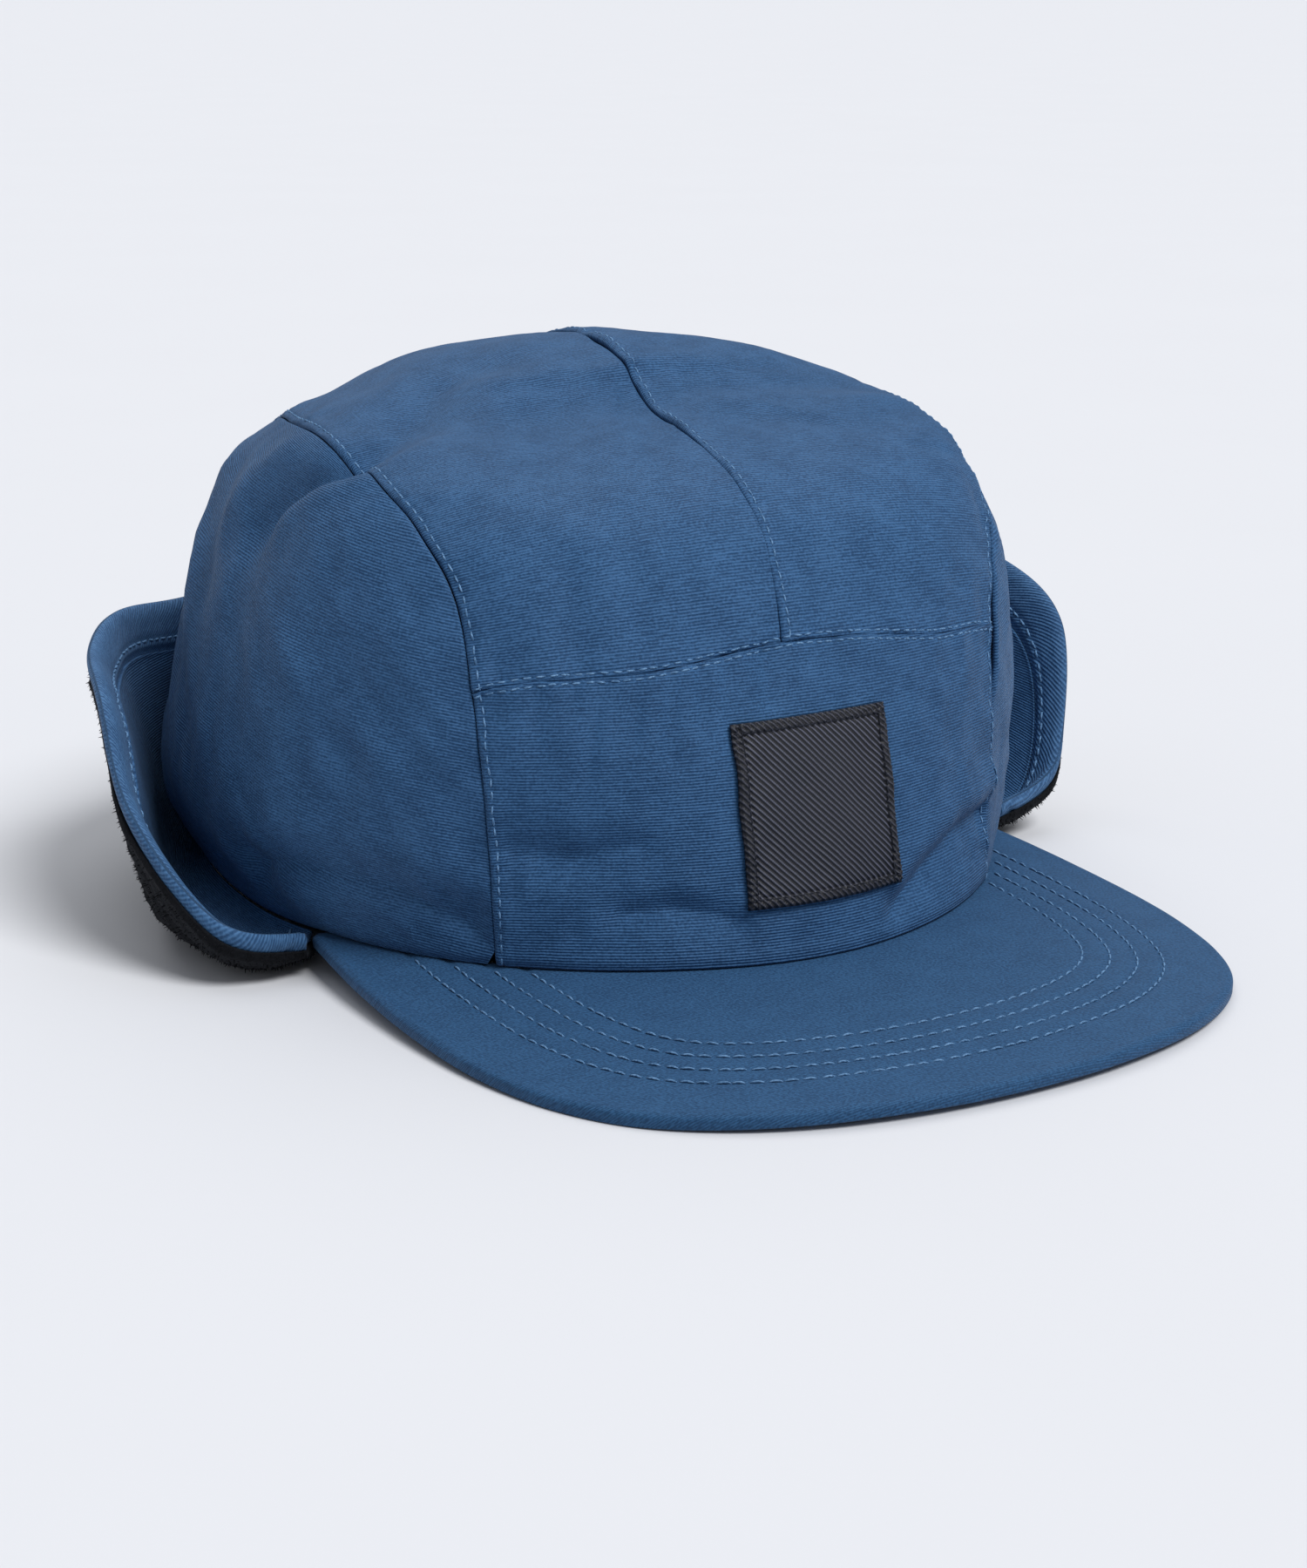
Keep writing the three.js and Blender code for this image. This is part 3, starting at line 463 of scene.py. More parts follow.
crown = {
    # height, half width, front, rear, power of the front half, of the rear half, waist
    "levels": np.array([
        (8.5, 91.5, -99, 99, 1.95, 2.2, 1),
        (26.3, 98.8, -95.6, 103, 1.95, 2.35, 2),
        (51.3, 96.8, -90, 99.8, 2.23, 2.28, 1),
        (76.3, 91.9, -82.5, 95.6, 2.55, 2.28, -1),
        (94.3, 86.3, -73.8, 89.6, 2.6, 2.2, -3),
        (104.3, 81.7, -61.4, 82.2, 2.62, 2.1, -4.5),
        (110.3, 77.3, -45.2, 72.7, 2.66, 1.95, -5.5),
        (115.3, 69.2, -24.5, 62.8, 2.62, 1.95, -3),
        (120.3, 56.6, -16.5, 51.2, 2.5, 2.08, 3.1),
        (125.3, 40.3, -10.9, 37.3, 2.33, 2.1, 8.2),
        (129.8, 0, 11.3, 11.3, 2.1, 2.1, 11.3),
    ]),
    "clothThickness": 1.2,
    # seams by their places, as angle and reach
    "rightSideSeam": [(43.3, 1), (43.1, 0.88), (44.9, 0.726), (49.2, 0.578), (57.7, 0.49), (66.9, 0.436),
                      (77.5, 0.384), (92, 0.35), (110, 0.36), (131, 0.415), (146, 0.545), (151, 0.76),
                      (153, 1)],
    "leftSideSeam": [(38.8, 1), (38.5, 0.88), (38.5, 0.757), (45.5, 0.6), (57.5, 0.522),
                     (68.1, 0.454), (78, 0.395), (92, 0.355), (110, 0.36), (131, 0.415), (146, 0.545),
                     (151, 0.76), (153, 1)],
    "crossSeamEnd": 0.672,
    "crossSeam": [(-23, 0.652), (0, 0.634), (23, 0.652)],
    "hemBlend": 0.72,         # from this reach outward the crown follows its hem's slope
    "stillHem": 0.95,         # from this reach outward folds and rumples fade
    # Folds: the places that a line runs through, its half width, its rise or dent, and how
    # sharp its top is, from 0 for a soft wave to 1 for a crease
    "folds": [
        ([(-76, 0.16), (-77, 0.385)], 7, -2.2, 0),
        ([(-77, 0.385), (-92, 0.52)], 8, -3, 0),
        ([(30, 0.33), (72, 0.36)], 6, 1.3, 0),
        ([(-82, 0.925), (-46, 0.935)], 6, -2, 0),
        ([(-37, 0.88), (-15, 0.945)], 8, -1.2, 0),
        ([(11, 0.975), (36, 0.925)], 6, -1.8, 0),
        ([(-124, 0.47), (-110, 0.65)], 8, 1.5, 0),
        ([(-99, 0.5), (-95, 0.6), (-96, 0.78)], 9, 0.6, 0),
        ([(-91, 0.6), (-87, 0.7), (-83, 0.8)], 8, -0.7, 0),
        ([(-80, 0.56), (-74, 0.66), (-74, 0.74)], 8, 0.6, 0),
        ([(-68, 0.6), (-62, 0.72), (-64, 0.84)], 8, -0.7, 0),
        ([(-57, 0.66), (-55, 0.74), (-60, 0.82)], 6, 0.5, 0),
        ([(-76.7, 0.2), (-75.9, 0.272), (-77.3, 0.372), (-84, 0.44), (-90.8, 0.504)], 3.2, -2.2, 1),
        ([(-70, 0.36), (-74, 0.42), (-84, 0.5)], 5, 1.7, 0),
        ([(-96, 0.40), (-101, 0.47), (-104, 0.55)], 5, 0.9, 0),
        ([(21.7, 0.335), (49.3, 0.333), (52.5, 0.366), (72.1, 0.354)], 3, 0.7, 1),
        ([(20, 0.365), (47, 0.362), (52, 0.395), (70, 0.382)], 3.4, -0.8, 0),
        ([(52.5, 0.437), (64.8, 0.482)], 3, -0.6, 1),
        ([(33.1, 0.603), (41.3, 0.633)], 2.4, -0.5, 1),
        ([(33.4, 0.575), (42, 0.6)], 2.6, 0.45, 0),
        ([(11.1, 0.975), (22.4, 0.927), (37.2, 0.905)], 3, -1.9, 1),
        ([(12, 0.93), (24, 0.885), (38, 0.87)], 4.5, 1.3, 0),
        ([(-80.2, 0.928), (-63, 0.911), (-55.3, 0.921), (-44, 0.975)], 3, -1.5, 1),
        ([(-80, 0.885), (-60, 0.875), (-47, 0.9)], 5, 1.3, 0),
        ([(-120.3, 0.487), (-110.2, 0.631)], 4, 0.8, 0),
        ([(-113, 0.47), (-104, 0.62)], 4, -0.7, 0),
        ([(-27, 0.935), (-20, 0.928), (-12, 0.95)], 3, -1.5, 1),
        ([(-40, 0.86), (-33, 0.865), (-24, 0.85)], 3.4, -1.3, 1),
        ([(-38, 0.905), (-28, 0.9), (-16, 0.91)], 4, 0.9, 0),
        ([(-60, 0.32), (-48, 0.37), (-35, 0.42)], 7, -0.8, 0),
        ([(-62, 0.37), (-45, 0.44), (-34, 0.5)], 6, 0.6, 0),
        ([(-30, 0.36), (-12, 0.38), (8, 0.36)], 6, 0.6, 0),
        ([(150, 0.5), (120, 0.3), (100, 0.2)], 7, -0.9, 0),
        ([(-150, 0.45), (-125, 0.3), (-100, 0.24)], 7, -0.9, 0),
        ([(120, 0.92), (80, 0.93), (60, 0.92)], 5, -1.2, 0),
        ([(100, 0.5), (92, 0.62), (88, 0.75)], 7, -0.8, 0),
        ([(175, 0.9), (160, 0.88), (148, 0.92)], 5, -0.9, 0),
        ([(-30, 0.665), (-31, 0.76)], 2.2, -0.95, 0.5),
        ([(-25, 0.66), (-25.5, 0.73)], 1.8, -0.85, 0.5),
        ([(-20.5, 0.655), (-20.5, 0.75)], 2.0, -1.0, 0.5),
        ([(-16, 0.65), (-16, 0.72)], 1.6, -0.8, 0.5),
        ([(-12, 0.645), (-11.5, 0.74)], 2.2, -0.95, 0.5),
        ([(-6, 0.64), (-5.5, 0.70)], 1.8, -0.8, 0.5),
        ([(6, 0.64), (7, 0.70)], 2.2, -0.4, 0.4),
        ([(17, 0.65), (18, 0.72)], 2.2, -0.45, 0.4),
        ([(-27, 0.48), (-24, 0.60)], 4.0, -0.7, 0),
        ([(-17, 0.50), (-16, 0.62)], 3.4, -0.7, 0),
        ([(-36, 0.52), (-33, 0.64)], 4.0, -0.6, 0),
    ],
}

brim = {
    "slope": 3.35, "topHeight": 8.05, "hemFrontY": -101, "thickness": 3.0, "edgeRound": 0.9,
    "flatHalfWidth": 20, "droop": 0.0009, "tuck": 2.2, "reach": 70.5,
    "outline": [(0, -167.6), (24, -165.9), (46, -160.4), (63, -151.6), (75.3, -140.6), (84, -125.5),
                (89.4, -106), (91.6, -83), (91.4, -55), (89.3, -29)],
    "stitchInsets": [14.4, 20.1, 25.9, 31.8],
    "grooveDepth": 0.3, "grooveWidth": 0.75, "quilting": 0.16, "quiltFade": 3,
    "rimRise": 0.22, "rimInset": 1.6, "along": 300, "onTop": 110, "below": 26,
    "outlineSteps": 900, "rowSteps": 700, "rowSmoothing": 14,
}
seamGap = 0.45
rearHemHeight = 8.8
hemEaseLength = 60
hemRadius = 95
latticeStart = 400        # keeps the noise's lattice places above 0

levels = crown["levels"]
meanRadius = (levels[:, 1] + (levels[:, 3] - levels[:, 2]) / 2) / 2
levelRun = np.concatenate([[0], np.cumsum(np.hypot(np.diff(levels[:, 0]), np.diff(meanRadius)))])
crownLength = levelRun[-1]
levelShares = levelRun / crownLength


def brimTop(x, y):
    # A flat slope that droops by the square of the distance beyond its flat middle
    aside = np.maximum(np.abs(x) - brim["flatHalfWidth"], 0)
    slope = math.tan(math.radians(brim["slope"]))
    return brim["topHeight"] + slope * (y - brim["hemFrontY"]) - brim["droop"] * aside ** 2


def hemHeight(x, y):
    templeY = brim["outline"][-1][1]
    onBrim = brimTop(x, np.minimum(y, templeY)) + seamGap
    ease = smoothStep(templeY, templeY + hemEaseLength, y)
    return onBrim * (1 - ease) + rearHemHeight * ease


def bareCrown(across, back):
    # Each level is a superellipse, radius = a b / ((a |sin|)^n + (b |cos|)^n)^(1/n), with its
    # own front and rear half; the levels' sizes are smooth columns over the reach
    reach = np.minimum(np.hypot(across, back), 1)
    angle = np.arctan2(across, -back)
    height, halfWidth, front, rear, frontPower, rearPower, waist = (
        smoothColumn(levelShares, levels[:, k], 1 - reach, flatEnd=(k == 0)) for k in range(7))
    sine = np.abs(np.sin(angle))
    cosine = np.cos(angle)
    forward = cosine > 0
    power = np.where(forward, frontPower, rearPower)
    halfLength = np.maximum(np.where(forward, waist - front, rear - waist), 1e-6)
    halfWidth = np.maximum(halfWidth, 1e-6)
    stretch = (sine * halfLength) ** power + (np.abs(cosine) * halfWidth) ** power
    radius = halfLength * halfWidth / np.maximum(stretch, 1e-12) ** (1 / power)
    x = radius * np.sin(angle)
    y = waist - radius * cosine
    z = height + (hemHeight(x, y) - levels[0, 0]) * smoothStep(crown["hemBlend"], 1, reach)
    return np.stack([x, y, z], axis=-1)


def bareNormal(across, back):
    # The cross product of the crown's slopes along the disc's two axes
    nudge = 0.004
    alongAcross = bareCrown(across + nudge, back) - bareCrown(across - nudge, back)
    alongBack = bareCrown(across, back + nudge) - bareCrown(across, back - nudge)
    return unit(np.cross(alongAcross, alongBack))


def onDisc(angle, reach):
    turn = np.radians(angle)
    return np.stack([reach * np.sin(turn), -reach * np.cos(turn)], axis=-1)


creaseTip = 0.5


def foldRise(across, back):
    # Each fold rises by its distance from a bent line: e^-(d/w)^2, or e^-(d/w) for a crease
    # whose tip is rounded
    place = np.stack([across, back], axis=-1)
    rise = np.zeros(across.shape)
    for line, halfWidth, height, sharp in crown["folds"]:
        knots = onDisc(*np.array(line, float).T)
        nearest = np.full(across.shape, np.inf)
        for start, end in zip(knots[:-1], knots[1:]):
            run = end - start
            share = np.clip(((place - start) @ run) / (run @ run), 0, 1)
            away = np.linalg.norm(place - start - share[..., None] * run, axis=-1)
            nearest = np.minimum(nearest, away * crownLength)
        soft = bell(nearest, halfWidth)
        crease = np.exp(-(np.hypot(nearest, creaseTip) - creaseTip) / halfWidth)
        rise += height * (soft * (1 - sharp) + crease * sharp)
    return rise


# Noise on the cloth: the two lengths of a cell, and the height
rumples = {
    "upright": [(34, 34, 0.75), (15, 12, 0.46), (6, 5, 0.2)],
    "slanting": [(9, 30, 1.0), (4.2, 17, 0.45)],
    "slantHeight": 0.62, "calmed": 0.6,
    # how far round from the front, in radians, and at what reach the slanting folds set in
    "sideStart": (0.7, 0.95), "sideTop": (0.42, 0.55),
}


def rumple(across, back, seed):
    # Wide, middling and small noise on the disc. On the sides the middling noise gives way
    # to folds that slant down towards the front
    reach = np.hypot(across, back)
    angle = np.abs(np.arctan2(across, -back))
    u, v = across * crownLength + latticeStart, back * crownLength + latticeStart
    wide, middling, small = (smoothNoise(u / long, v / short, seed + k) * height
                             for k, (long, short, height) in enumerate(rumples["upright"]))
    around, down = angle * hemRadius, reach * crownLength
    slant = 0
    for k, (long, short, height) in enumerate(rumples["slanting"]):
        ahead, behind = (around + down) / long + 40, (around - down) / short + 40
        slant = slant + height * smoothNoise(ahead, behind, seed + 3 + k)
    aside = smoothStep(*rumples["sideStart"], angle) * smoothStep(*rumples["sideTop"], reach)
    return wide + middling * (1 - rumples["calmed"] * aside) + small + rumples["slantHeight"] * slant * aside


def crownSkin(across, back, rumpleSeed):
    # The bare crown moved along its normal by its folds and rumples, which fade at the hem
    normals = bareNormal(across, back)
    reach = np.hypot(across, back)
    nearHem = 1 - smoothStep(crown["stillHem"], 1, reach)
    rise = (foldRise(across, back) + rumple(across, back, rumpleSeed)) * nearHem
    points = bareCrown(across, back) + normals * rise[..., None]
    points[..., 2] = np.maximum(points[..., 2], hemHeight(points[..., 0], points[..., 1]))
    return points, normals


seamSamples = 2000
seamTable = {1: np.array(crown["leftSideSeam"], float),
             -1: np.array(crown["rightSideSeam"], float) * (-1, 1)}
sideCurve = {side: catmullRom(onDisc(*table.T), seamSamples) for side, table in seamTable.items()}
crossShare = {side: np.argmax(np.linalg.norm(curve, axis=1) < crown["crossSeamEnd"]) / (seamSamples - 1)
              for side, curve in sideCurve.items()}


def onCurve(curve, share):
    where = np.clip(share, 0, 1) * (len(curve) - 1)
    rows = np.arange(len(curve))
    return np.stack([np.interp(where, rows, curve[:, axis]) for axis in range(2)], axis=-1)


crossCurve = catmullRom(np.array([
    onCurve(sideCurve[-1], np.array(crossShare[-1])),
    *onDisc(*np.array(crown["crossSeam"], float).T),
    onCurve(sideCurve[1], np.array(crossShare[1])),
]), seamSamples)


# Seams. A panel's edge turns down into its seam. Where a row of stitches runs beside it, the
# cloth there has a second ply under it and is drawn down along the row.

seam = {
    "roll": 0.34, "rollWidth": 0.24, "crossRoll": 0.14, "slit": 0.12,
    "plainSwell": 0.06, "plySwell": 0.12, "plyWidth": 4.2, "stitchDepth": 0.2, "stitchWidth": 0.4,
    "pucker": 0.42, "crossPucker": 0.72, "puckerLength": 4.2, "finePuckerLength": 2.6,
    "puckerReach": 8.0, "hemDip": 0.25, "hemSwell": 0.15, "hemSwellInset": 2.2,
}
stitchInsets = {"stitched": 1.9, "crossed": 1.0}
seamStitch = {"pitch": 2.6, "length": 1.9, "radius": 0.19, "rise": 0.16, "sink": 0.02}


def seamRelief(distance, along, kind, seed):
    # Down by a bell at the edge, up by the second ply, down by a bell along the stitches, and
    # puckers whose noise runs along the seam and dies away from it
    if kind == "hem":
        swell = seam["hemSwell"] * bell(distance - seam["hemSwellInset"], 1.4)
        return -seam["hemDip"] * bell(distance, 0.9) + swell
    roll = seam["crossRoll"] if kind == "crossed" else seam["roll"]
    relief = -roll * bell(distance, seam["rollWidth"])
    ripple = smoothNoise(along / seam["puckerLength"] + 50, distance / 40 + 9, seed)
    ripple += 0.5 * smoothNoise(along / seam["finePuckerLength"] + 90, distance / 30 + 3, seed + 1)
    height = seam["crossPucker"] if kind == "crossed" else seam["pucker"]
    puckered = height * ripple * np.exp(-distance / seam["puckerReach"]) * smoothStep(0, 1.2, distance)
    if kind == "plain":
        return relief + seam["plainSwell"] * bell(distance - 1.5, 1.2) + puckered * 0.8
    ply = seam["plySwell"] * (1 - smoothStep(seam["plyWidth"] - 1.2, seam["plyWidth"] + 0.6, distance))
    dip = 0.8 + 0.2 * np.cos(2 * math.pi * along / seamStitch["pitch"])
    row = seam["stitchDepth"] * bell(distance - stitchInsets[kind], seam["stitchWidth"]) * dip
    return relief + ply * smoothStep(0.1, 1.1, distance) - row + puckered


def edgeDistances(points):
    # How far each point lies from the first and last row and column, along the grid
    acrossRun = runLengths(points)
    downRun = runLengths(points.transpose(1, 0, 2)).T
    return {
        "firstColumn": (acrossRun, downRun),
        "lastColumn": (acrossRun[:, -1:] - acrossRun, downRun),
        "firstRow": (downRun, acrossRun),
        "lastRow": (downRun[-1:] - downRun, acrossRun),
    }


def partedEdges(points, edges):
    # Draws a panel's edge back from the seam's line, so that a fine slit stays between two
    parted = points.copy()
    pairs = {"firstColumn": (np.s_[:, 0], np.s_[:, 1]), "lastColumn": (np.s_[:, -1], np.s_[:, -2])}
    for edge, (border, inside) in pairs.items():
        if edges.get(edge, "hem") != "hem":
            run = points[inside] - points[border]
            length = np.linalg.norm(run, axis=-1, keepdims=True)
            parted[border] = points[border] + run * np.minimum(seam["slit"] / np.maximum(length, 1e-9), 0.8)
    return parted


def rowBeside(points, normals, edge, inset):
    # The line at this distance from an edge, and the normals along it
    if edge in ("firstRow", "lastRow"):
        points, normals = points.transpose(1, 0, 2), normals.transpose(1, 0, 2)
    if edge in ("lastRow", "lastColumn"):
        points, normals = points[:, ::-1], normals[:, ::-1]
    run = runLengths(points)
    k = np.clip((run < inset).sum(axis=1), 1, points.shape[1] - 1)
    rows = np.arange(len(points))
    t = ((inset - run[rows, k - 1]) / (run[rows, k] - run[rows, k - 1]))[:, None]
    line = points[rows, k - 1] * (1 - t) + points[rows, k] * t
    return line, unit(normals[rows, k])


def topPlace(side, across, down):
    # Rows straight over the disc from the centre seam to the side seam, pulled to the cross
    # seam over the first quarter and bowed to the hem over the last
    onSeam = onCurve(sideCurve[side], crossShare[side] + (1 - crossShare[side]) * down)
    middleReach = crown["crossSeam"][1][1]
    centreBack = -middleReach + (1 + middleReach) * down ** 1.15
    spot = np.stack([onSeam[..., 0] * across, centreBack * (1 - across) + onSeam[..., 1] * across], axis=-1)
    frontPull = np.maximum(0, 1 - down * 4)[..., None]
    onCross = onCurve(crossCurve, 0.5 + 0.5 * side * across)
    end = onCurve(sideCurve[side], np.array(crossShare[side]))
    straight = np.stack([end[0] * across, -middleReach * (1 - across) + end[1] * across], axis=-1)
    spot = spot + (onCross - straight) * frontPull
    chord = np.stack([unit(onSeam)[..., 0] * across, (1 - across) + unit(onSeam)[..., 1] * across], axis=-1)
    bow = 1 / np.linalg.norm(chord, axis=-1) - 1
    return spot * (1 + bow * np.maximum(0, down * 4 - 3))[..., None]


def sidePlace(side, across, down):
    # From the side seam straight out to the hem, whose angle runs evenly with the seam
    tip = 0.01
    along = np.clip(down, tip, 1 - tip)
    onSeam = onCurve(sideCurve[side], along)
    first, last = seamTable[side][0, 0], seamTable[side][-1, 0]
    onHem = onDisc(first + (last - first) * along, 1.0)
    return onSeam * (1 - across)[..., None] + onHem * across[..., None]


def frontPlace(side, across, down):
    # From the cross seam to the hem, with both edges drawn to the side seams
    hemAngle = {sign: seamTable[sign][0, 0] for sign in (-1, 1)}
    spot = onCurve(crossCurve, across) * (1 - down)[..., None]
    spot = spot + onDisc(hemAngle[-1] * (1 - across) + hemAngle[1] * across, 1.0) * down[..., None]
    for sign, weight, end in ((-1, 1 - across, 0.0), (1, across, 1.0)):
        edge = onCurve(sideCurve[sign], crossShare[sign] * (1 - down))
        straight = onCurve(crossCurve, np.array(end)) * (1 - down)[..., None]
        straight = straight + onDisc(hemAngle[sign], 1.0) * down[..., None]
        spot = spot + (edge - straight) * weight[..., None]
    return spot


ribs = {"sideDip": 0.16, "hingeHeight": 58, "hingeY": 2, "hingeRadius": 78}


def ribCoordinates(points, place, kind):
    # Ribs lie level on the front panel and slant a little on the sides. Over the head they
    # follow planes that hinge on a line from ear to ear, so that they are straight across
    reach = np.linalg.norm(place, axis=-1)
    angle = np.arctan2(place[..., 0], -place[..., 1])
    if kind != "top":
        dip = ribs["sideDip"] if kind == "side" else 0.0
        level = -reach * crownLength - dip * np.abs(angle) * hemRadius
        return np.stack([angle * hemRadius, level], axis=-1)
    hinge = np.arctan2(points[..., 2] - ribs["hingeHeight"], -(points[..., 1] - ribs["hingeY"]))
    return np.stack([points[..., 0], hinge * ribs["hingeRadius"]], axis=-1)


sideEdges = {"firstColumn": "plain", "lastColumn": "hem"}
headEdges = {"firstColumn": "stitched", "lastColumn": "stitched", "firstRow": "crossed", "lastRow": "hem"}
topPiece = {"place": topPlace, "grid": (250, 72), "ribs": "top", "flat": (0.0920, 0.2600), "area": 0.0185}
sidePiece = {"place": sidePlace, "grid": (260, 84), "ribs": "side", "flat": (0.2050, 0.1150),
             "area": 0.0184, "edges": sideEdges}
panels = {
    "front_panel": {"place": frontPlace, "grid": (96, 150), "ribs": "front", "flat": (0.1480, 0.0760),
                    "area": 0.0096, "side": 1, "seed": 11, "edges": headEdges},
    "top_panel_left": {**topPiece, "side": 1, "seed": 21, "edges": headEdges},
    "top_panel_right": {**topPiece, "side": -1, "seed": 31,
                        "edges": {**headEdges, "firstColumn": "plain"}},
    "side_panel_left": {**sidePiece, "side": 1, "seed": 41},
    "side_panel_right": {**sidePiece, "side": -1, "seed": 51},
}


def crownPanel(name, spec):
    # The skin moved out by its seams' relief, and an inner face one cloth's thickness below
    rows, columns = spec["grid"]
    down, across = np.meshgrid(crowdedSteps(rows, 0.6), crowdedSteps(columns, 0.72), indexing="ij")
    place = spec["place"](spec["side"], across, down)
    skin, normals = crownSkin(place[..., 0], place[..., 1], spec["seed"])
    skin = partedEdges(skin, spec["edges"])
    distances = edgeDistances(skin)
    relief = np.zeros(across.shape)
    for k, (edge, kind) in enumerate(spec["edges"].items()):
        relief += seamRelief(*distances[edge], kind, spec["seed"] * 7 + k)
    outer = skin + normals * relief[..., None]
    facing = gridNormals(outer)
    facing *= np.sign((facing * normals).sum(axis=-1).mean())
    inner = skin + normals * (np.minimum(relief, 0) - crown["clothThickness"])[..., None]
    uv = ribCoordinates(skin, place, spec["ribs"]).reshape(-1, 2)
    piece = sheetPiece(name + "_cloth", outer, inner, uv, crownCloth, name)
    return [rowBeside(outer, facing, edge, stitchInsets[kind])
            for edge, kind in spec["edges"].items() if kind in stitchInsets]


crownRows = []
for panelName, panelSpec in panels.items():
    crownRows += crownPanel(panelName, panelSpec)
stitchPiece("crown_stitching", crownRows, seamStitch, 5, blueThread)
print("crown panels and their stitching made")


# The brim: a board under cloth, with a rounded rim and four rows of stitches

def brimOutlineCurve(count):
    half = np.array(brim["outline"], float)
    other = half[:0:-1] * (-1, 1)
    return catmullRom(np.concatenate([other, half]), count, centripetal=True)


def hemPlan(angle, depth):
    # The hem from above, moved in towards the waist by a depth
    turn = onDisc(angle, 1.0)
    point = bareCrown(turn[..., 0], turn[..., 1])[..., :2]
    return point + unit(np.array([0, levels[0, 6]]) - point) * depth


def distanceToCurve(points, curve):
    flat = points.reshape(-1, 2)
    nearest = np.full(len(flat), np.inf)
    for start in range(0, len(curve), 100):
        part = curve[start:start + 100]
        away = np.linalg.norm(flat[:, None] - part[None], axis=-1).min(axis=1)
        nearest = np.minimum(nearest, away)
    return nearest.reshape(points.shape[:-1])


def brimRelief(inset):
    # The cloth is drawn down along each row of stitches and swells a little between them
    insets = brim["stitchInsets"]
    fade = brim["quiltFade"]
    grooves = sum(bell(inset - row, brim["grooveWidth"]) for row in insets) * brim["grooveDepth"]
    spacing = (insets[-1] - insets[0]) / (len(insets) - 1)
    wave = 0.5 - 0.5 * np.cos(2 * math.pi * (inset - insets[0]) / spacing)
    stitched = smoothStep(insets[0] - fade, insets[0], inset)
    stitched = stitched * (1 - smoothStep(insets[-1], insets[-1] + fade, inset))
    rim = brim["rimRise"] * bell(inset - brim["rimInset"], 1.0)
    return wave * brim["quilting"] * stitched - grooves + rim


def brimBoard():
    # Sections from the hem out along the top, round the rim in quarter turns and back below
    outer = brimOutlineCurve(brim["along"])
    tangent = unit(np.gradient(outer, axis=0))
    inward = np.stack([-tangent[:, 1], tangent[:, 0]], axis=-1)
    share = np.linspace(0, 1, brim["along"])
    inner = hemPlan((2 * share - 1) * brim["reach"], brim["tuck"])
    edgeRound, thickness = brim["edgeRound"], brim["thickness"]
    t = np.linspace(0, 1, brim["onTop"]) ** 0.9
    start = outer + inward * edgeRound
    topPlan = inner[:, None] * (1 - t)[None, :, None] + start[:, None] * t[None, :, None]
    quarter = np.linspace(0, math.pi / 2, 6)[1:]
    rimInset = np.concatenate([edgeRound * (1 - np.sin(quarter)), edgeRound * (1 - np.cos(quarter))])
    rimLevel = np.concatenate([-edgeRound * (1 - np.cos(quarter)),
                               -(thickness - edgeRound) - edgeRound * np.sin(quarter)])
    rimPlan = outer[:, None] + inward[:, None] * rimInset[None, :, None]
    back = np.linspace(1, 0, brim["below"])[1:]
    lowPlan = inner[:, None] * (1 - back)[None, :, None] + start[:, None] * back[None, :, None]
    plan = np.concatenate([topPlan, rimPlan, lowPlan], axis=1)
    level = np.concatenate([np.zeros(len(t)), rimLevel, np.full(len(back), -thickness)])
    relief = brimRelief(distanceToCurve(plan, brimOutlineCurve(brim["outlineSteps"])))
    relief[:, len(t):] = 0
    u, v = plan[..., 0] + 500, plan[..., 1] + 500     # above 0, for the noise
    waver = 0.12 * smoothNoise(u / 18, v / 18, 71) + 0.05 * smoothNoise(u / 6, v / 6, 72)
    height = brimTop(plan[..., 0], plan[..., 1]) + level + relief + waver * (level > -0.01)
    return np.concatenate([plan, height[..., None]], axis=-1)


def brimRow(inset):
    # The outline moved in by the inset. Where it would cross itself it is cut, and then
    # smoothed by a running mean
    outer = brimOutlineCurve(brim["outlineSteps"])
    tangent = unit(np.gradient(outer, axis=0))
    moved = outer + np.stack([-tangent[:, 1], tangent[:, 0]], axis=-1) * inset
    kept = moved[distanceToCurve(moved, outer) > inset - 0.4]
    kept = evenly(kept, brim["rowSteps"])
    reach = brim["rowSmoothing"]
    padded = np.concatenate([np.repeat(kept[:1], reach, 0), kept, np.repeat(kept[-1:], reach, 0)])
    window = np.ones(2 * reach + 1) / (2 * reach + 1)
    line = np.stack([np.convolve(padded[:, axis], window, "valid") for axis in range(2)], axis=-1)
    centre = np.array([0, levels[0, 6]])
    angle = np.degrees(np.arctan2(line[:, 0], -(line[:, 1] - centre[1])))
    hem = hemPlan(angle, -0.8)
    line = line[np.linalg.norm(line - centre, axis=1) > np.linalg.norm(hem - centre, axis=1)]
    height = brimTop(line[:, 0], line[:, 1]) - brim["grooveDepth"] + 0.06
    slope = math.tan(math.radians(brim["slope"]))
    up = unit(np.stack([0 * height, 0 * height - slope, 0 * height + 1], axis=-1))
    return np.concatenate([line, height[:, None]], axis=-1), up


brimPoints, brimQuads = closedTube(brimBoard())
brimUv = np.stack([brimPoints[:, 0], brimPoints[:, 1] + brimPoints[:, 2]], axis=-1)
placePiece(putMesh("brim_cloth_board", brimPoints, brimQuads, brimUv, brimCloth), "brim")
brimStitch = {"pitch": 3.4, "length": 2.7, "radius": 0.22, "rise": 0.24, "sink": 0.0}
brimRows = [brimRow(inset) for inset in brim["stitchInsets"]]
stitchPiece("brim_stitching", brimRows, brimStitch, 6, blueThread)
print("brim made")


# The patch on the forehead: a woven square with a folded, overcast border

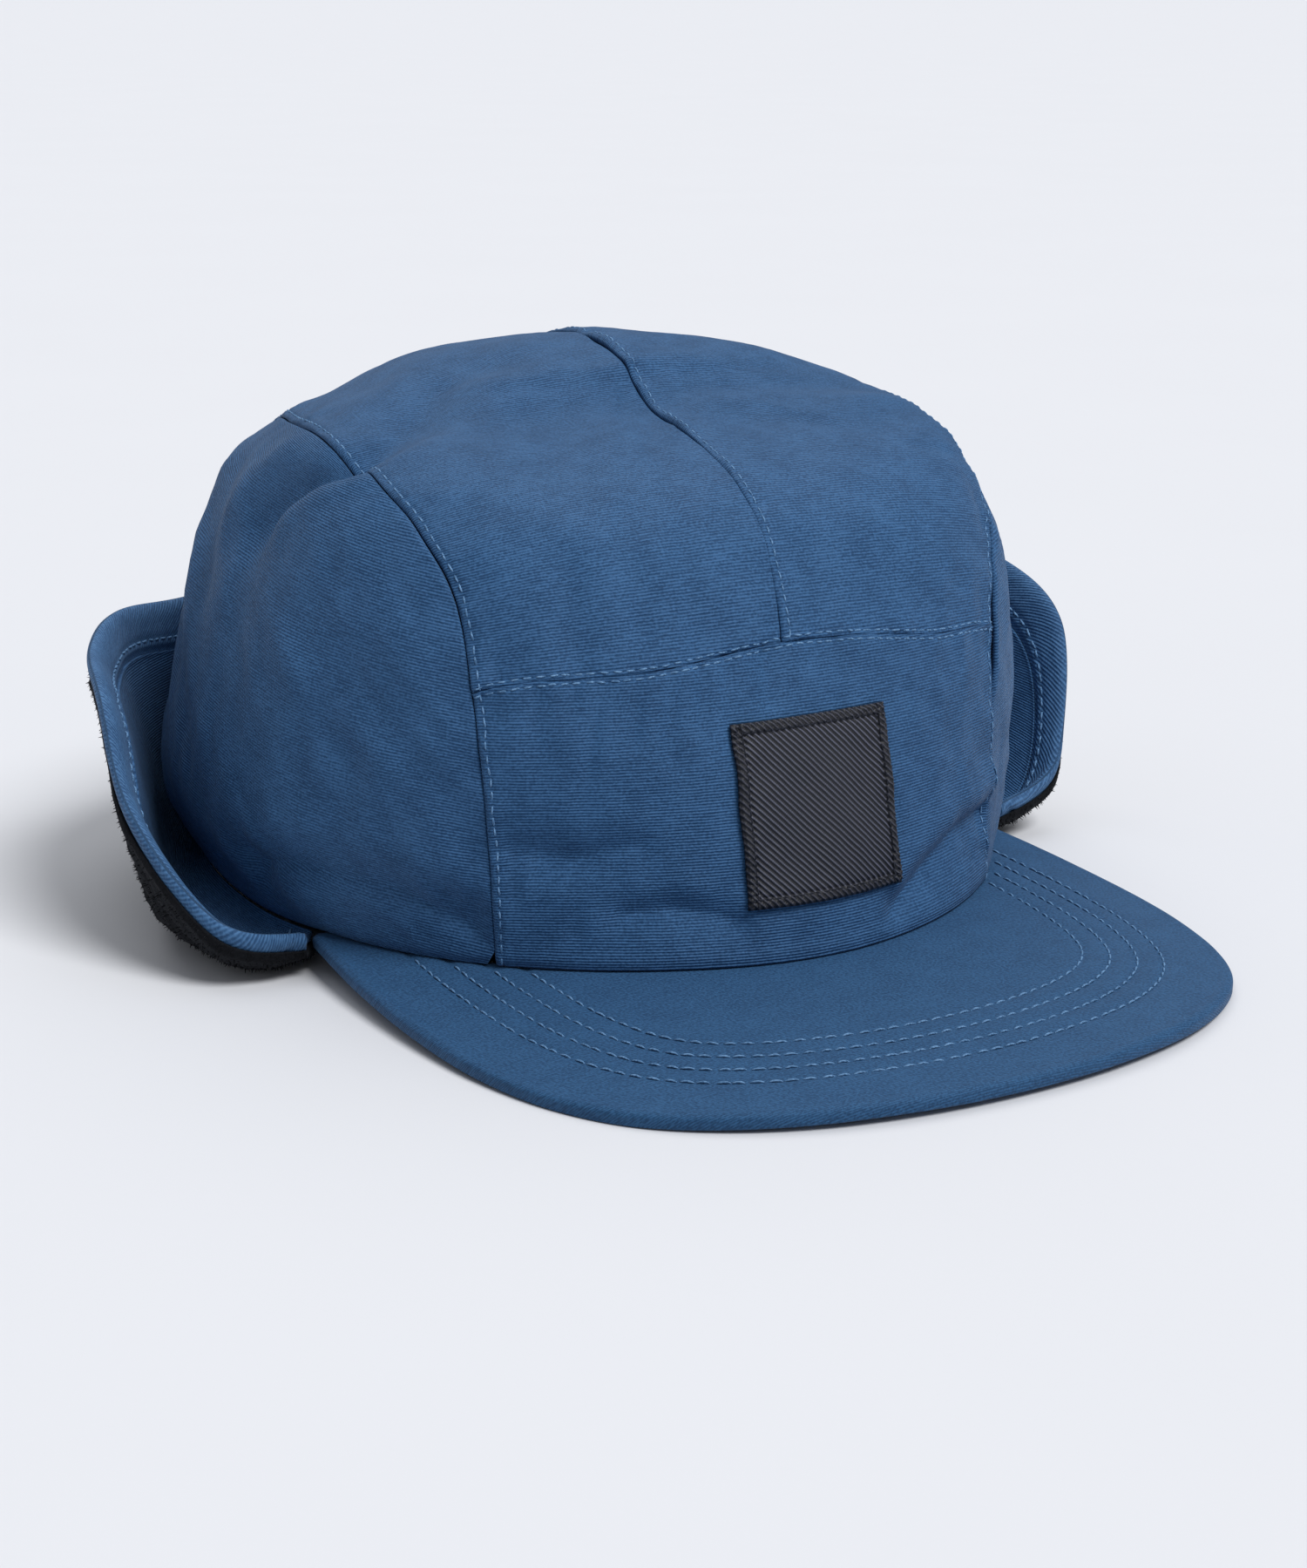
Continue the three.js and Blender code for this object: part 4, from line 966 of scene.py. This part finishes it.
patch = {
    "size": 38.5, "top": 59, "thickness": 0.9, "steps": 112, "flat": (0.0385, 0.0385),
    "borderWidth": 2.1, "borderRise": 0.32, "overcastPitch": 1.25, "overcastDepth": 0.14,
    "rowInset": 0.3, "grooveDepth": 0.22, "grooveWidth": 0.35, "rounding": 0.55, "sideWaver": 0.22,
}
patchStitch = {"pitch": 1.9, "length": 1.45, "radius": 0.17, "rise": 0.16, "sink": 0.02}


def placeAtFront(x, height):
    # Thirty steps on the disc, each by what the crown's point still lacks in x and in height
    across, back = x / crownLength, np.full(x.shape, -0.8)
    for _ in range(30):
        point = bareCrown(across, back)
        across = across + (x - point[..., 0]) / crownLength
        back = back - (point[..., 2] - height) / crownLength
    return across, back


def patchSquare():
    # A square on the forehead: a raised border overcast by a sine along it, a groove inside
    # the border and a rounded rim
    steps = crowdedSteps(patch["steps"], 0.55)
    half = patch["size"] / 2
    down, across = np.meshgrid(steps, steps, indexing="ij")
    x = patch["size"] * (across - 0.5)
    height = patch["top"] - patch["size"] * down
    waver = patch["sideWaver"] * smoothNoise(down * 9 + 3, across * 0 + 2, 81)
    waver = waver * np.sign(x) * smoothStep(0.8, 1, np.abs(x) / half)
    base, normals = crownSkin(*placeAtFront(x + waver, height), panels["front_panel"]["seed"])
    fromSide, fromEnd = half - np.abs(x), half - np.abs(height - patch["top"] + half)
    fromEdge = np.minimum(fromSide, fromEnd)
    alongEdge = np.where(fromSide < fromEnd, height, x)
    border = 1 - smoothStep(patch["borderWidth"] - 0.35, patch["borderWidth"] + 0.25, fromEdge)
    overcast = patch["overcastDepth"] * np.sin(2 * math.pi * alongEdge / patch["overcastPitch"]) * border
    fromRow = fromEdge - patch["borderWidth"] - patch["rowInset"]
    groove = patch["grooveDepth"] * bell(fromRow, patch["grooveWidth"])
    relief = patch["borderRise"] * border + overcast - groove - patch["rounding"] * bell(fromEdge, 0.35)
    outer = base + normals * (seamGap + patch["thickness"] + relief)[..., None]
    return outer, base + normals * seamGap, normals, np.stack([x, height], axis=-1).reshape(-1, 2)


outer, inner, patchNormals, patchUv = patchSquare()
patchPiece = sheetPiece("patch_twill_square", outer, inner, patchUv, patchTwill, "patch")
patchRows = [rowBeside(outer, patchNormals, edge, patch["borderWidth"] + patch["rowInset"])
             for edge in ("firstRow", "lastRow", "firstColumn", "lastColumn")]
stitchPiece("patch_stitching", patchRows, patchStitch, 7, darkThread)
print("patch made")


# The earflap: one long piece from temple to temple round the back, folded up

flap = {
    # x, y and height of the free edge, how far the fold first swings out from the hem, its
    # second swell and how far down that lies; from the right temple round the back to the left
    "edge": np.array([
        (-90, -32, 9.6, 4, 1, 1.5), (-110, -28.5, 15, 15, 0, 6), (-120, -4, 36, 32, -12, 15),
        (-116.3, 20, 56, 28, -19, 20), (-108, 47, 60.4, 20, -17, 22), (-92.5, 70, 62.2, 17, -7, 26),
        (-67.5, 90, 59.2, 18, -4, 28), (-34, 106.5, 59.5, 16, -5, 28), (0, 113, 60, 13, -8, 28),
        (37, 106, 60.5, 16, -5, 28), (71, 88.5, 62.5, 19, -4, 28), (97.5, 60.5, 66, 18, -9, 26),
        (114, 33, 67, 22, -17, 22), (123.5, 4, 63.5, 28, -19, 20), (125.8, -17, 49.5, 28, -17, 17),
        (118.5, -24.5, 18, 12, -4, 9), (93, -31, 9.6, 3, 0.5, 1.5),
    ], float),
    "templeAngle": 72, "shellThickness": 1.1, "fleeceThickness": 2.3, "layerGap": 0.7, "bandGap": 0.05,
    "bandWidth": 12.5, "bandTaper": 0.09, "bandWrap": 4.8, "templeWrap": 2.2, "temple": (0.7, 0.82),
    "bandThickness": 3.6, "bandOffset": 0.9, "pileGive": 0.48, "startDown": 10, "startDrop": 0.7,
    "fleeceStart": 6, "softness": 1.2, "endShare": 0.984,
    # the most of a section that the band and its wrap take, and where the run along is measured
    "bandShare": 0.55, "wrapShare": 0.6, "runAt": 0.8,
    "along": 460, "across": 81, "shellAcross": 54, "fleeceAcross": 66, "bandAround": 48,
    # slow waves: a cell's lengths along and across the flap, its place and the height
    "waves": [(31, 60, 7, 0.9), (11, 25, 3, 0.35)], "waveSeed": 61, "shellWave": 0.45, "bandWave": 0.4,
}
flapPlaces = np.arange(len(flap["edge"]), dtype=float)


def flapSections(share):
    # For each share from -1 to 1, a cubic Bezier curve from the hem down, out and up to the
    # free edge, kept off the table by z = floor + (d + sqrt(d^2 + s^2)) / 2
    where = (share + 1) / 2 * flapPlaces[-1]
    edgeX, edgeY, edgeZ, out, belly, drop = (
        smoothColumn(flapPlaces, column, where) for column in flap["edge"].T)
    angle = 180 - share * (180 - flap["templeAngle"])
    plan = hemPlan(angle, crown["clothThickness"] / 2)
    start = hemHeight(plan[:, 0], plan[:, 1]) - seamGap - flap["startDrop"]
    hem = np.concatenate([plan, start[:, None]], axis=1)
    edge = np.stack([edgeX, edgeY, edgeZ], axis=1)
    outward = edge - hem
    outward[:, 2] = 0
    outward = unit(outward)
    shrink = np.minimum(1, 0.3 * np.linalg.norm(edge - hem, axis=1) / flap["startDown"])[:, None]
    down = np.array([0, 0, 1.0])
    first = hem + (outward * out[:, None] - down * flap["startDown"]) * shrink
    second = edge + outward * belly[:, None] - down * drop[:, None]
    t = np.linspace(0, 1, flap["across"])[None, :, None]
    curve = (hem[:, None] * (1 - t) ** 3 + 3 * first[:, None] * t * (1 - t) ** 2
             + 3 * second[:, None] * t ** 2 * (1 - t) + edge[:, None] * t ** 3)
    floor = flap["fleeceThickness"] + flap["layerGap"] + flap["shellThickness"] / 2 - flap["pileGive"]
    above = curve[..., 2] - floor
    curve[..., 2] = floor + (above + np.hypot(above, flap["softness"])) / 2
    return curve


flapShares = np.linspace(-flap["endShare"], flap["endShare"], flap["along"])
flapCurves = flapSections(flapShares)
flapTotals = runLengths(flapCurves)[:, -1]
fromTemple = flap["endShare"] - np.abs(flapShares)
bandReach = np.minimum(flap["bandWidth"], flapTotals * flap["bandShare"])
bandReach = bandReach * (0.5 + 0.5 * smoothStep(0, flap["bandTaper"], fromTemple))
shellEnd = flapTotals - bandReach - flap["bandGap"]
nearTemple = smoothStep(*flap["temple"], np.abs(flapShares))
bandWrap = flap["bandWrap"] * (1 - nearTemple) + flap["templeWrap"] * nearTemple
fleeceEnd = flapTotals - np.minimum(bandWrap, bandReach * flap["wrapShare"])
flapRun = runLengths(alongRows(flapCurves, (flapTotals * flap["runAt"])[:, None])[:, 0])


def flapGrid(distances):
    # The middle line's points at these distances from the hem, and the normals there, which
    # point to the fleece's side
    grid = alongRows(flapCurves, distances)
    step = 0.6
    total = flapTotals[:, None]
    ahead = alongRows(flapCurves, np.minimum(distances + step, total))
    behind = alongRows(flapCurves, np.maximum(distances - step, 0))
    return grid, unit(np.cross(ahead - behind, np.gradient(grid, axis=0)))


def flapWaver(along, across):
    # Slow noise along the flap, in two sizes
    waver = 0
    for k, (long, wide, start, height) in enumerate(flap["waves"]):
        waver = waver + smoothNoise(along / long + 20, across / wide + start, flap["waveSeed"] + k) * height
    return waver


shellSteps = crowdedSteps(flap["shellAcross"], 0.5)
shellDistance = shellEnd[:, None] * shellSteps[None, :]
shellGrid, shellNormals = flapGrid(shellDistance)
alongFlap = np.repeat(flapRun[:, None], flap["shellAcross"], axis=1)
fade = smoothStep(0, 18, shellDistance)
shellWave = flapWaver(alongFlap, shellDistance) * flap["shellWave"] * fade
shellWave -= 0.3 * bell(shellEnd[:, None] - shellDistance, 0.7)     # turned in under the band
shellHalf = flap["shellThickness"] / 2
shellOuter = shellGrid - shellNormals * (shellHalf - shellWave)[..., None]
shellInner = shellGrid + shellNormals * (shellHalf + np.minimum(shellWave, 0))[..., None]
shellUv = np.stack([alongFlap, shellDistance], axis=-1).reshape(-1, 2)
shellPiece = sheetPiece("earflap_shell_cloth", shellOuter, shellInner, shellUv, crownCloth,
                        "earflap_shell")
print("earflap shell made")


# The band closes the free edge: a flattened tube, topstitched on the shell's side
band = {
    "stitchInset": 3.4, "stitchDepth": 0.4, "stitchWidth": 0.8, "endRowInset": 6.0,
    "pucker": 0.32, "puckerLength": 6.5, "puckerReach": 5, "thinnest": 0.25,
}
bandStitch = {"pitch": 3.1, "length": 2.2, "radius": 0.26, "rise": 0.3, "sink": 0.0}

turn = (np.arange(flap["bandAround"]) + 0.5) / flap["bandAround"] * 2 * math.pi
inBand = 0.5 - 0.5 * np.cos(turn)
bandSide = np.sign(np.sin(turn))
# half as thick at the seam, and a quarter ellipse from 0.7 of the way to the free edge
thin = 0.5 + 0.5 * smoothStep(0, 0.2, inBand)
thin = thin * np.sqrt(1 - np.clip((inBand - 0.7) / 0.3, 0, 1) ** 2 * 0.98)
bandDistance = flapTotals[:, None] - bandReach[:, None] * (1 - inBand)[None, :]
bandGrid, bandNormals = flapGrid(bandDistance)
alongBand = np.repeat(flapRun[:, None], flap["bandAround"], axis=1)
fromSeam = bandReach[:, None] * inBand[None, :]
puckered = band["pucker"] * smoothNoise(alongBand / band["puckerLength"] + 30, fromSeam / 9 + 5, 65)
puckered *= np.exp(-np.abs(fromSeam - band["stitchInset"]) / band["puckerReach"])
groove = band["stitchDepth"] * bell(fromSeam - band["stitchInset"], band["stitchWidth"])
thickness = flap["bandThickness"] / 2 * thin[None, :] + puckered - groove
bandHeight = flap["bandOffset"] + bandSide[None, :] * np.maximum(thickness, band["thinnest"])
bandHeight = bandHeight + flapWaver(alongBand, fromSeam * 0 + 60) * flap["bandWave"]
bandRings = bandGrid + bandNormals * bandHeight[..., None]
points, quads = closedTube(bandRings)
bandUv = np.stack([alongBand, fromSeam * bandSide[None, :]], axis=-1).reshape(-1, 2)
bandPiece = placePiece(putMesh("earflap_band_cloth", points, quads, bandUv, bandCloth),
                       "earflap_band")
shellSide = sorted(np.flatnonzero(bandSide == -1), key=lambda k: inBand[k])
shellFace, shellFacing = bandRings[:, shellSide], -bandNormals[:, shellSide]
bandRows = [rowBeside(shellFace, shellFacing, "firstColumn", band["stitchInset"])]
for edge in ("firstRow", "lastRow"):     # the shell's turned ends are stitched across
    bandRows.append(rowBeside(shellOuter, -shellNormals, edge, band["endRowInset"]))
stitchPiece("band_stitching", bandRows, bandStitch, 8, blueThread)
print("earflap band made")


# The fleece on the flap's outer face: a soft lumpy sheet with a pile of short fibres
fleece = {
    # lumps: the size of a cell, its place along and across, and the height
    "lumps": [(8, 11, 2, 0.55), (2.4, 5, 8, 0.3)], "lumpSeed": 67, "evenEdge": 0.75,
    "edgeRound": 0.9, "overBand": 0.55, "bandGap": 0.12, "deepestDip": 0.4, "lowest": 0.25,
    "tufts": 11000, "tuftLength": 0.85, "tuftRadius": 0.17, "seed": 9,
}

fleeceSteps = crowdedSteps(flap["fleeceAcross"], 0.3)
fleeceStart = np.minimum(flap["fleeceStart"], shellEnd * 0.2)
fleeceDistance = fleeceStart[:, None] + (fleeceEnd - fleeceStart)[:, None] * fleeceSteps[None, :]
fleeceGrid, fleeceNormals = flapGrid(fleeceDistance)
alongFleece = np.repeat(flapRun[:, None], flap["fleeceAcross"], axis=1)
lumps = 0
for k, (size, along, across, height) in enumerate(fleece["lumps"]):
    u, v = alongFleece / size + along, fleeceDistance / size + across
    lumps = lumps + height * smoothNoise(u, v, fleece["lumpSeed"] + k)
fromEnd = fleeceEnd[:, None] - fleeceDistance
lumps *= 1 - fleece["evenEdge"] * bell(fromEnd, 4)
# over the band the fleece lies higher and follows its waves
onBand = smoothStep(-1.6, 0.4, fleeceDistance - shellEnd[:, None])
bandWave = flap["bandWave"] * flapWaver(alongFleece, fleeceDistance * 0 + 60)
bandLift = onBand * (fleece["overBand"] + bandWave)
base = flap["shellThickness"] / 2 + flap["layerGap"]
nearTable = smoothStep(0.5, 6, fleeceGrid[..., 2] - 4)
fleeceHeight = base + flap["fleeceThickness"] + lumps * nearTable + bandLift
fleeceHeight = fleeceHeight - fleece["edgeRound"] * bell(fromEnd, 0.8)
fleeceOuter = fleeceGrid + fleeceNormals * fleeceHeight[..., None]
fleeceOuter[..., 2] = np.maximum(fleeceOuter[..., 2], fleece["lowest"])
bandFace = flap["bandOffset"] + flap["bandThickness"] / 2 + fleece["bandGap"]
bandFace = bandFace + np.maximum(bandLift - fleece["overBand"], -fleece["deepestDip"])
fleeceInner = fleeceGrid + fleeceNormals * (base + (bandFace - base) * onBand)[..., None]
fleeceUv = np.stack([alongFleece, fleeceDistance], axis=-1).reshape(-1, 2)
fleecePiece = sheetPiece("earflap_fleece_sheet", fleeceOuter, fleeceInner, fleeceUv, fleecePile,
                         "earflap_fleece")


def pileTufts():
    # Short four-sided spikes, each leaning its own way, at random places on the fleece
    rng = np.random.default_rng(fleece["seed"])
    count = fleece["tufts"]
    row = rng.uniform(0, fleeceOuter.shape[0] - 1.001, count)
    column = rng.uniform(0, fleeceOuter.shape[1] - 1.001, count)
    i, j = row.astype(int), column.astype(int)
    s, t = (row - i)[:, None], (column - j)[:, None]
    root = ((fleeceOuter[i, j] * (1 - s) + fleeceOuter[i + 1, j] * s) * (1 - t)
            + (fleeceOuter[i, j + 1] * (1 - s) + fleeceOuter[i + 1, j + 1] * s) * t)
    up = fleeceNormals[i, j]
    lean = unit(rng.normal(size=(count, 3)) + up * 0.2)
    length = fleece["tuftLength"] * rng.uniform(0.5, 1.1, count)[:, None]
    tip = root + (up * 0.55 + lean * 0.75) * length
    side = unit(np.cross(up, lean))
    other = np.cross(side, up)
    turn = np.arange(4) / 4 * 2 * math.pi
    ring = side[:, None] * np.cos(turn)[:, None] + other[:, None] * np.sin(turn)[:, None]
    rings = [centre[:, None] + ring * radius * fleece["tuftRadius"]
             for centre, radius in ((root - up * 0.2, 1.0), (tip, 0.15))]
    tufts = np.stack(rings, axis=1)
    tufts[..., 2] = np.maximum(tufts[..., 2], 0.05)
    return manyTubes(tufts)


tuftPoints, tuftQuads = pileTufts()
placePiece(putMesh("earflap_fleece_pile", tuftPoints, tuftQuads, tuftPoints[:, :2], fleecePile))
print("fleece made")


# Floor, lights and camera. Each light has its power, its width in degrees and its place

studio = {
    "floor": (0.69, 0.70, 0.73), "floorSize": 60.0, "world": (0.84, 0.87, 0.93), "worldStrength": 0.36,
    "lights": {"key_light": (2.5, 28, (0.31, -0.8, 1.23)), "rear_light": (0.95, 60, (0.26, 0.72, 1.29))},
}
camera = {"azimuth": -30.995, "elevation": 15.835, "distance": 0.691761, "lens": 65.34,
          "sensor": 36, "nearest": 0.01, "target": (0.012098, 0.026433, 0.020111)}


def floorPlane():
    half = studio["floorSize"] / 2
    corners = [(-half, -half, 0), (half, -half, 0), (half, half, 0), (-half, half, 0)]
    mesh = bpy.data.meshes.new("floor")
    mesh.from_pydata(corners, [], [(0, 1, 2, 3)])
    material, tree, shader = newMaterial("floor_paper")
    coords = addNode(tree, "ShaderNodeTexCoord").outputs["Object"]
    dark, light = ([c * tone for c in studio["floor"]] for tone in (0.99, 1.01))
    baseColour(tree, shader, noise(tree, coords, 6.0, 3.0), dark, light)
    shader.inputs["Roughness"].default_value = 0.95
    shader.inputs["Specular IOR Level"].default_value = 0.1
    mesh.materials.append(material)
    floor = bpy.data.objects.new("floor", mesh)
    bpy.context.collection.objects.link(floor)


def sunLight(name, power, width, place):
    # A wide sun lights the whole floor alike
    light = bpy.data.lights.new(name, "SUN")
    light.energy = power
    light.angle = math.radians(width)
    lamp = bpy.data.objects.new(name, light)
    lamp.location = place
    lamp.rotation_euler = Vector(place).to_track_quat("Z", "Y").to_euler()
    bpy.context.collection.objects.link(lamp)


def setCamera():
    azimuth, elevation = math.radians(camera["azimuth"]), math.radians(camera["elevation"])
    back = Vector((math.sin(azimuth) * math.cos(elevation), -math.cos(azimuth) * math.cos(elevation),
                   math.sin(elevation)))
    data = bpy.data.cameras.new("camera")
    data.lens = camera["lens"]
    data.sensor_width = camera["sensor"]
    data.clip_start = camera["nearest"]
    eye = bpy.data.objects.new("camera", data)
    eye.location = Vector(camera["target"]) + back * camera["distance"]
    eye.rotation_euler = (-back).to_track_quat("-Z", "Y").to_euler()
    bpy.context.collection.objects.link(eye)
    bpy.context.scene.camera = eye


floorPlane()
for lightName, lightSpec in studio["lights"].items():
    sunLight(lightName, *lightSpec)
world = bpy.data.worlds.new("studio")
world.use_nodes = True
world.node_tree.nodes["Background"].inputs[0].default_value = (*studio["world"], 1)
world.node_tree.nodes["Background"].inputs[1].default_value = studio["worldStrength"]
bpy.context.scene.world = world
bpy.context.scene.view_settings.view_transform = "Standard"
setCamera()
print("studio set")
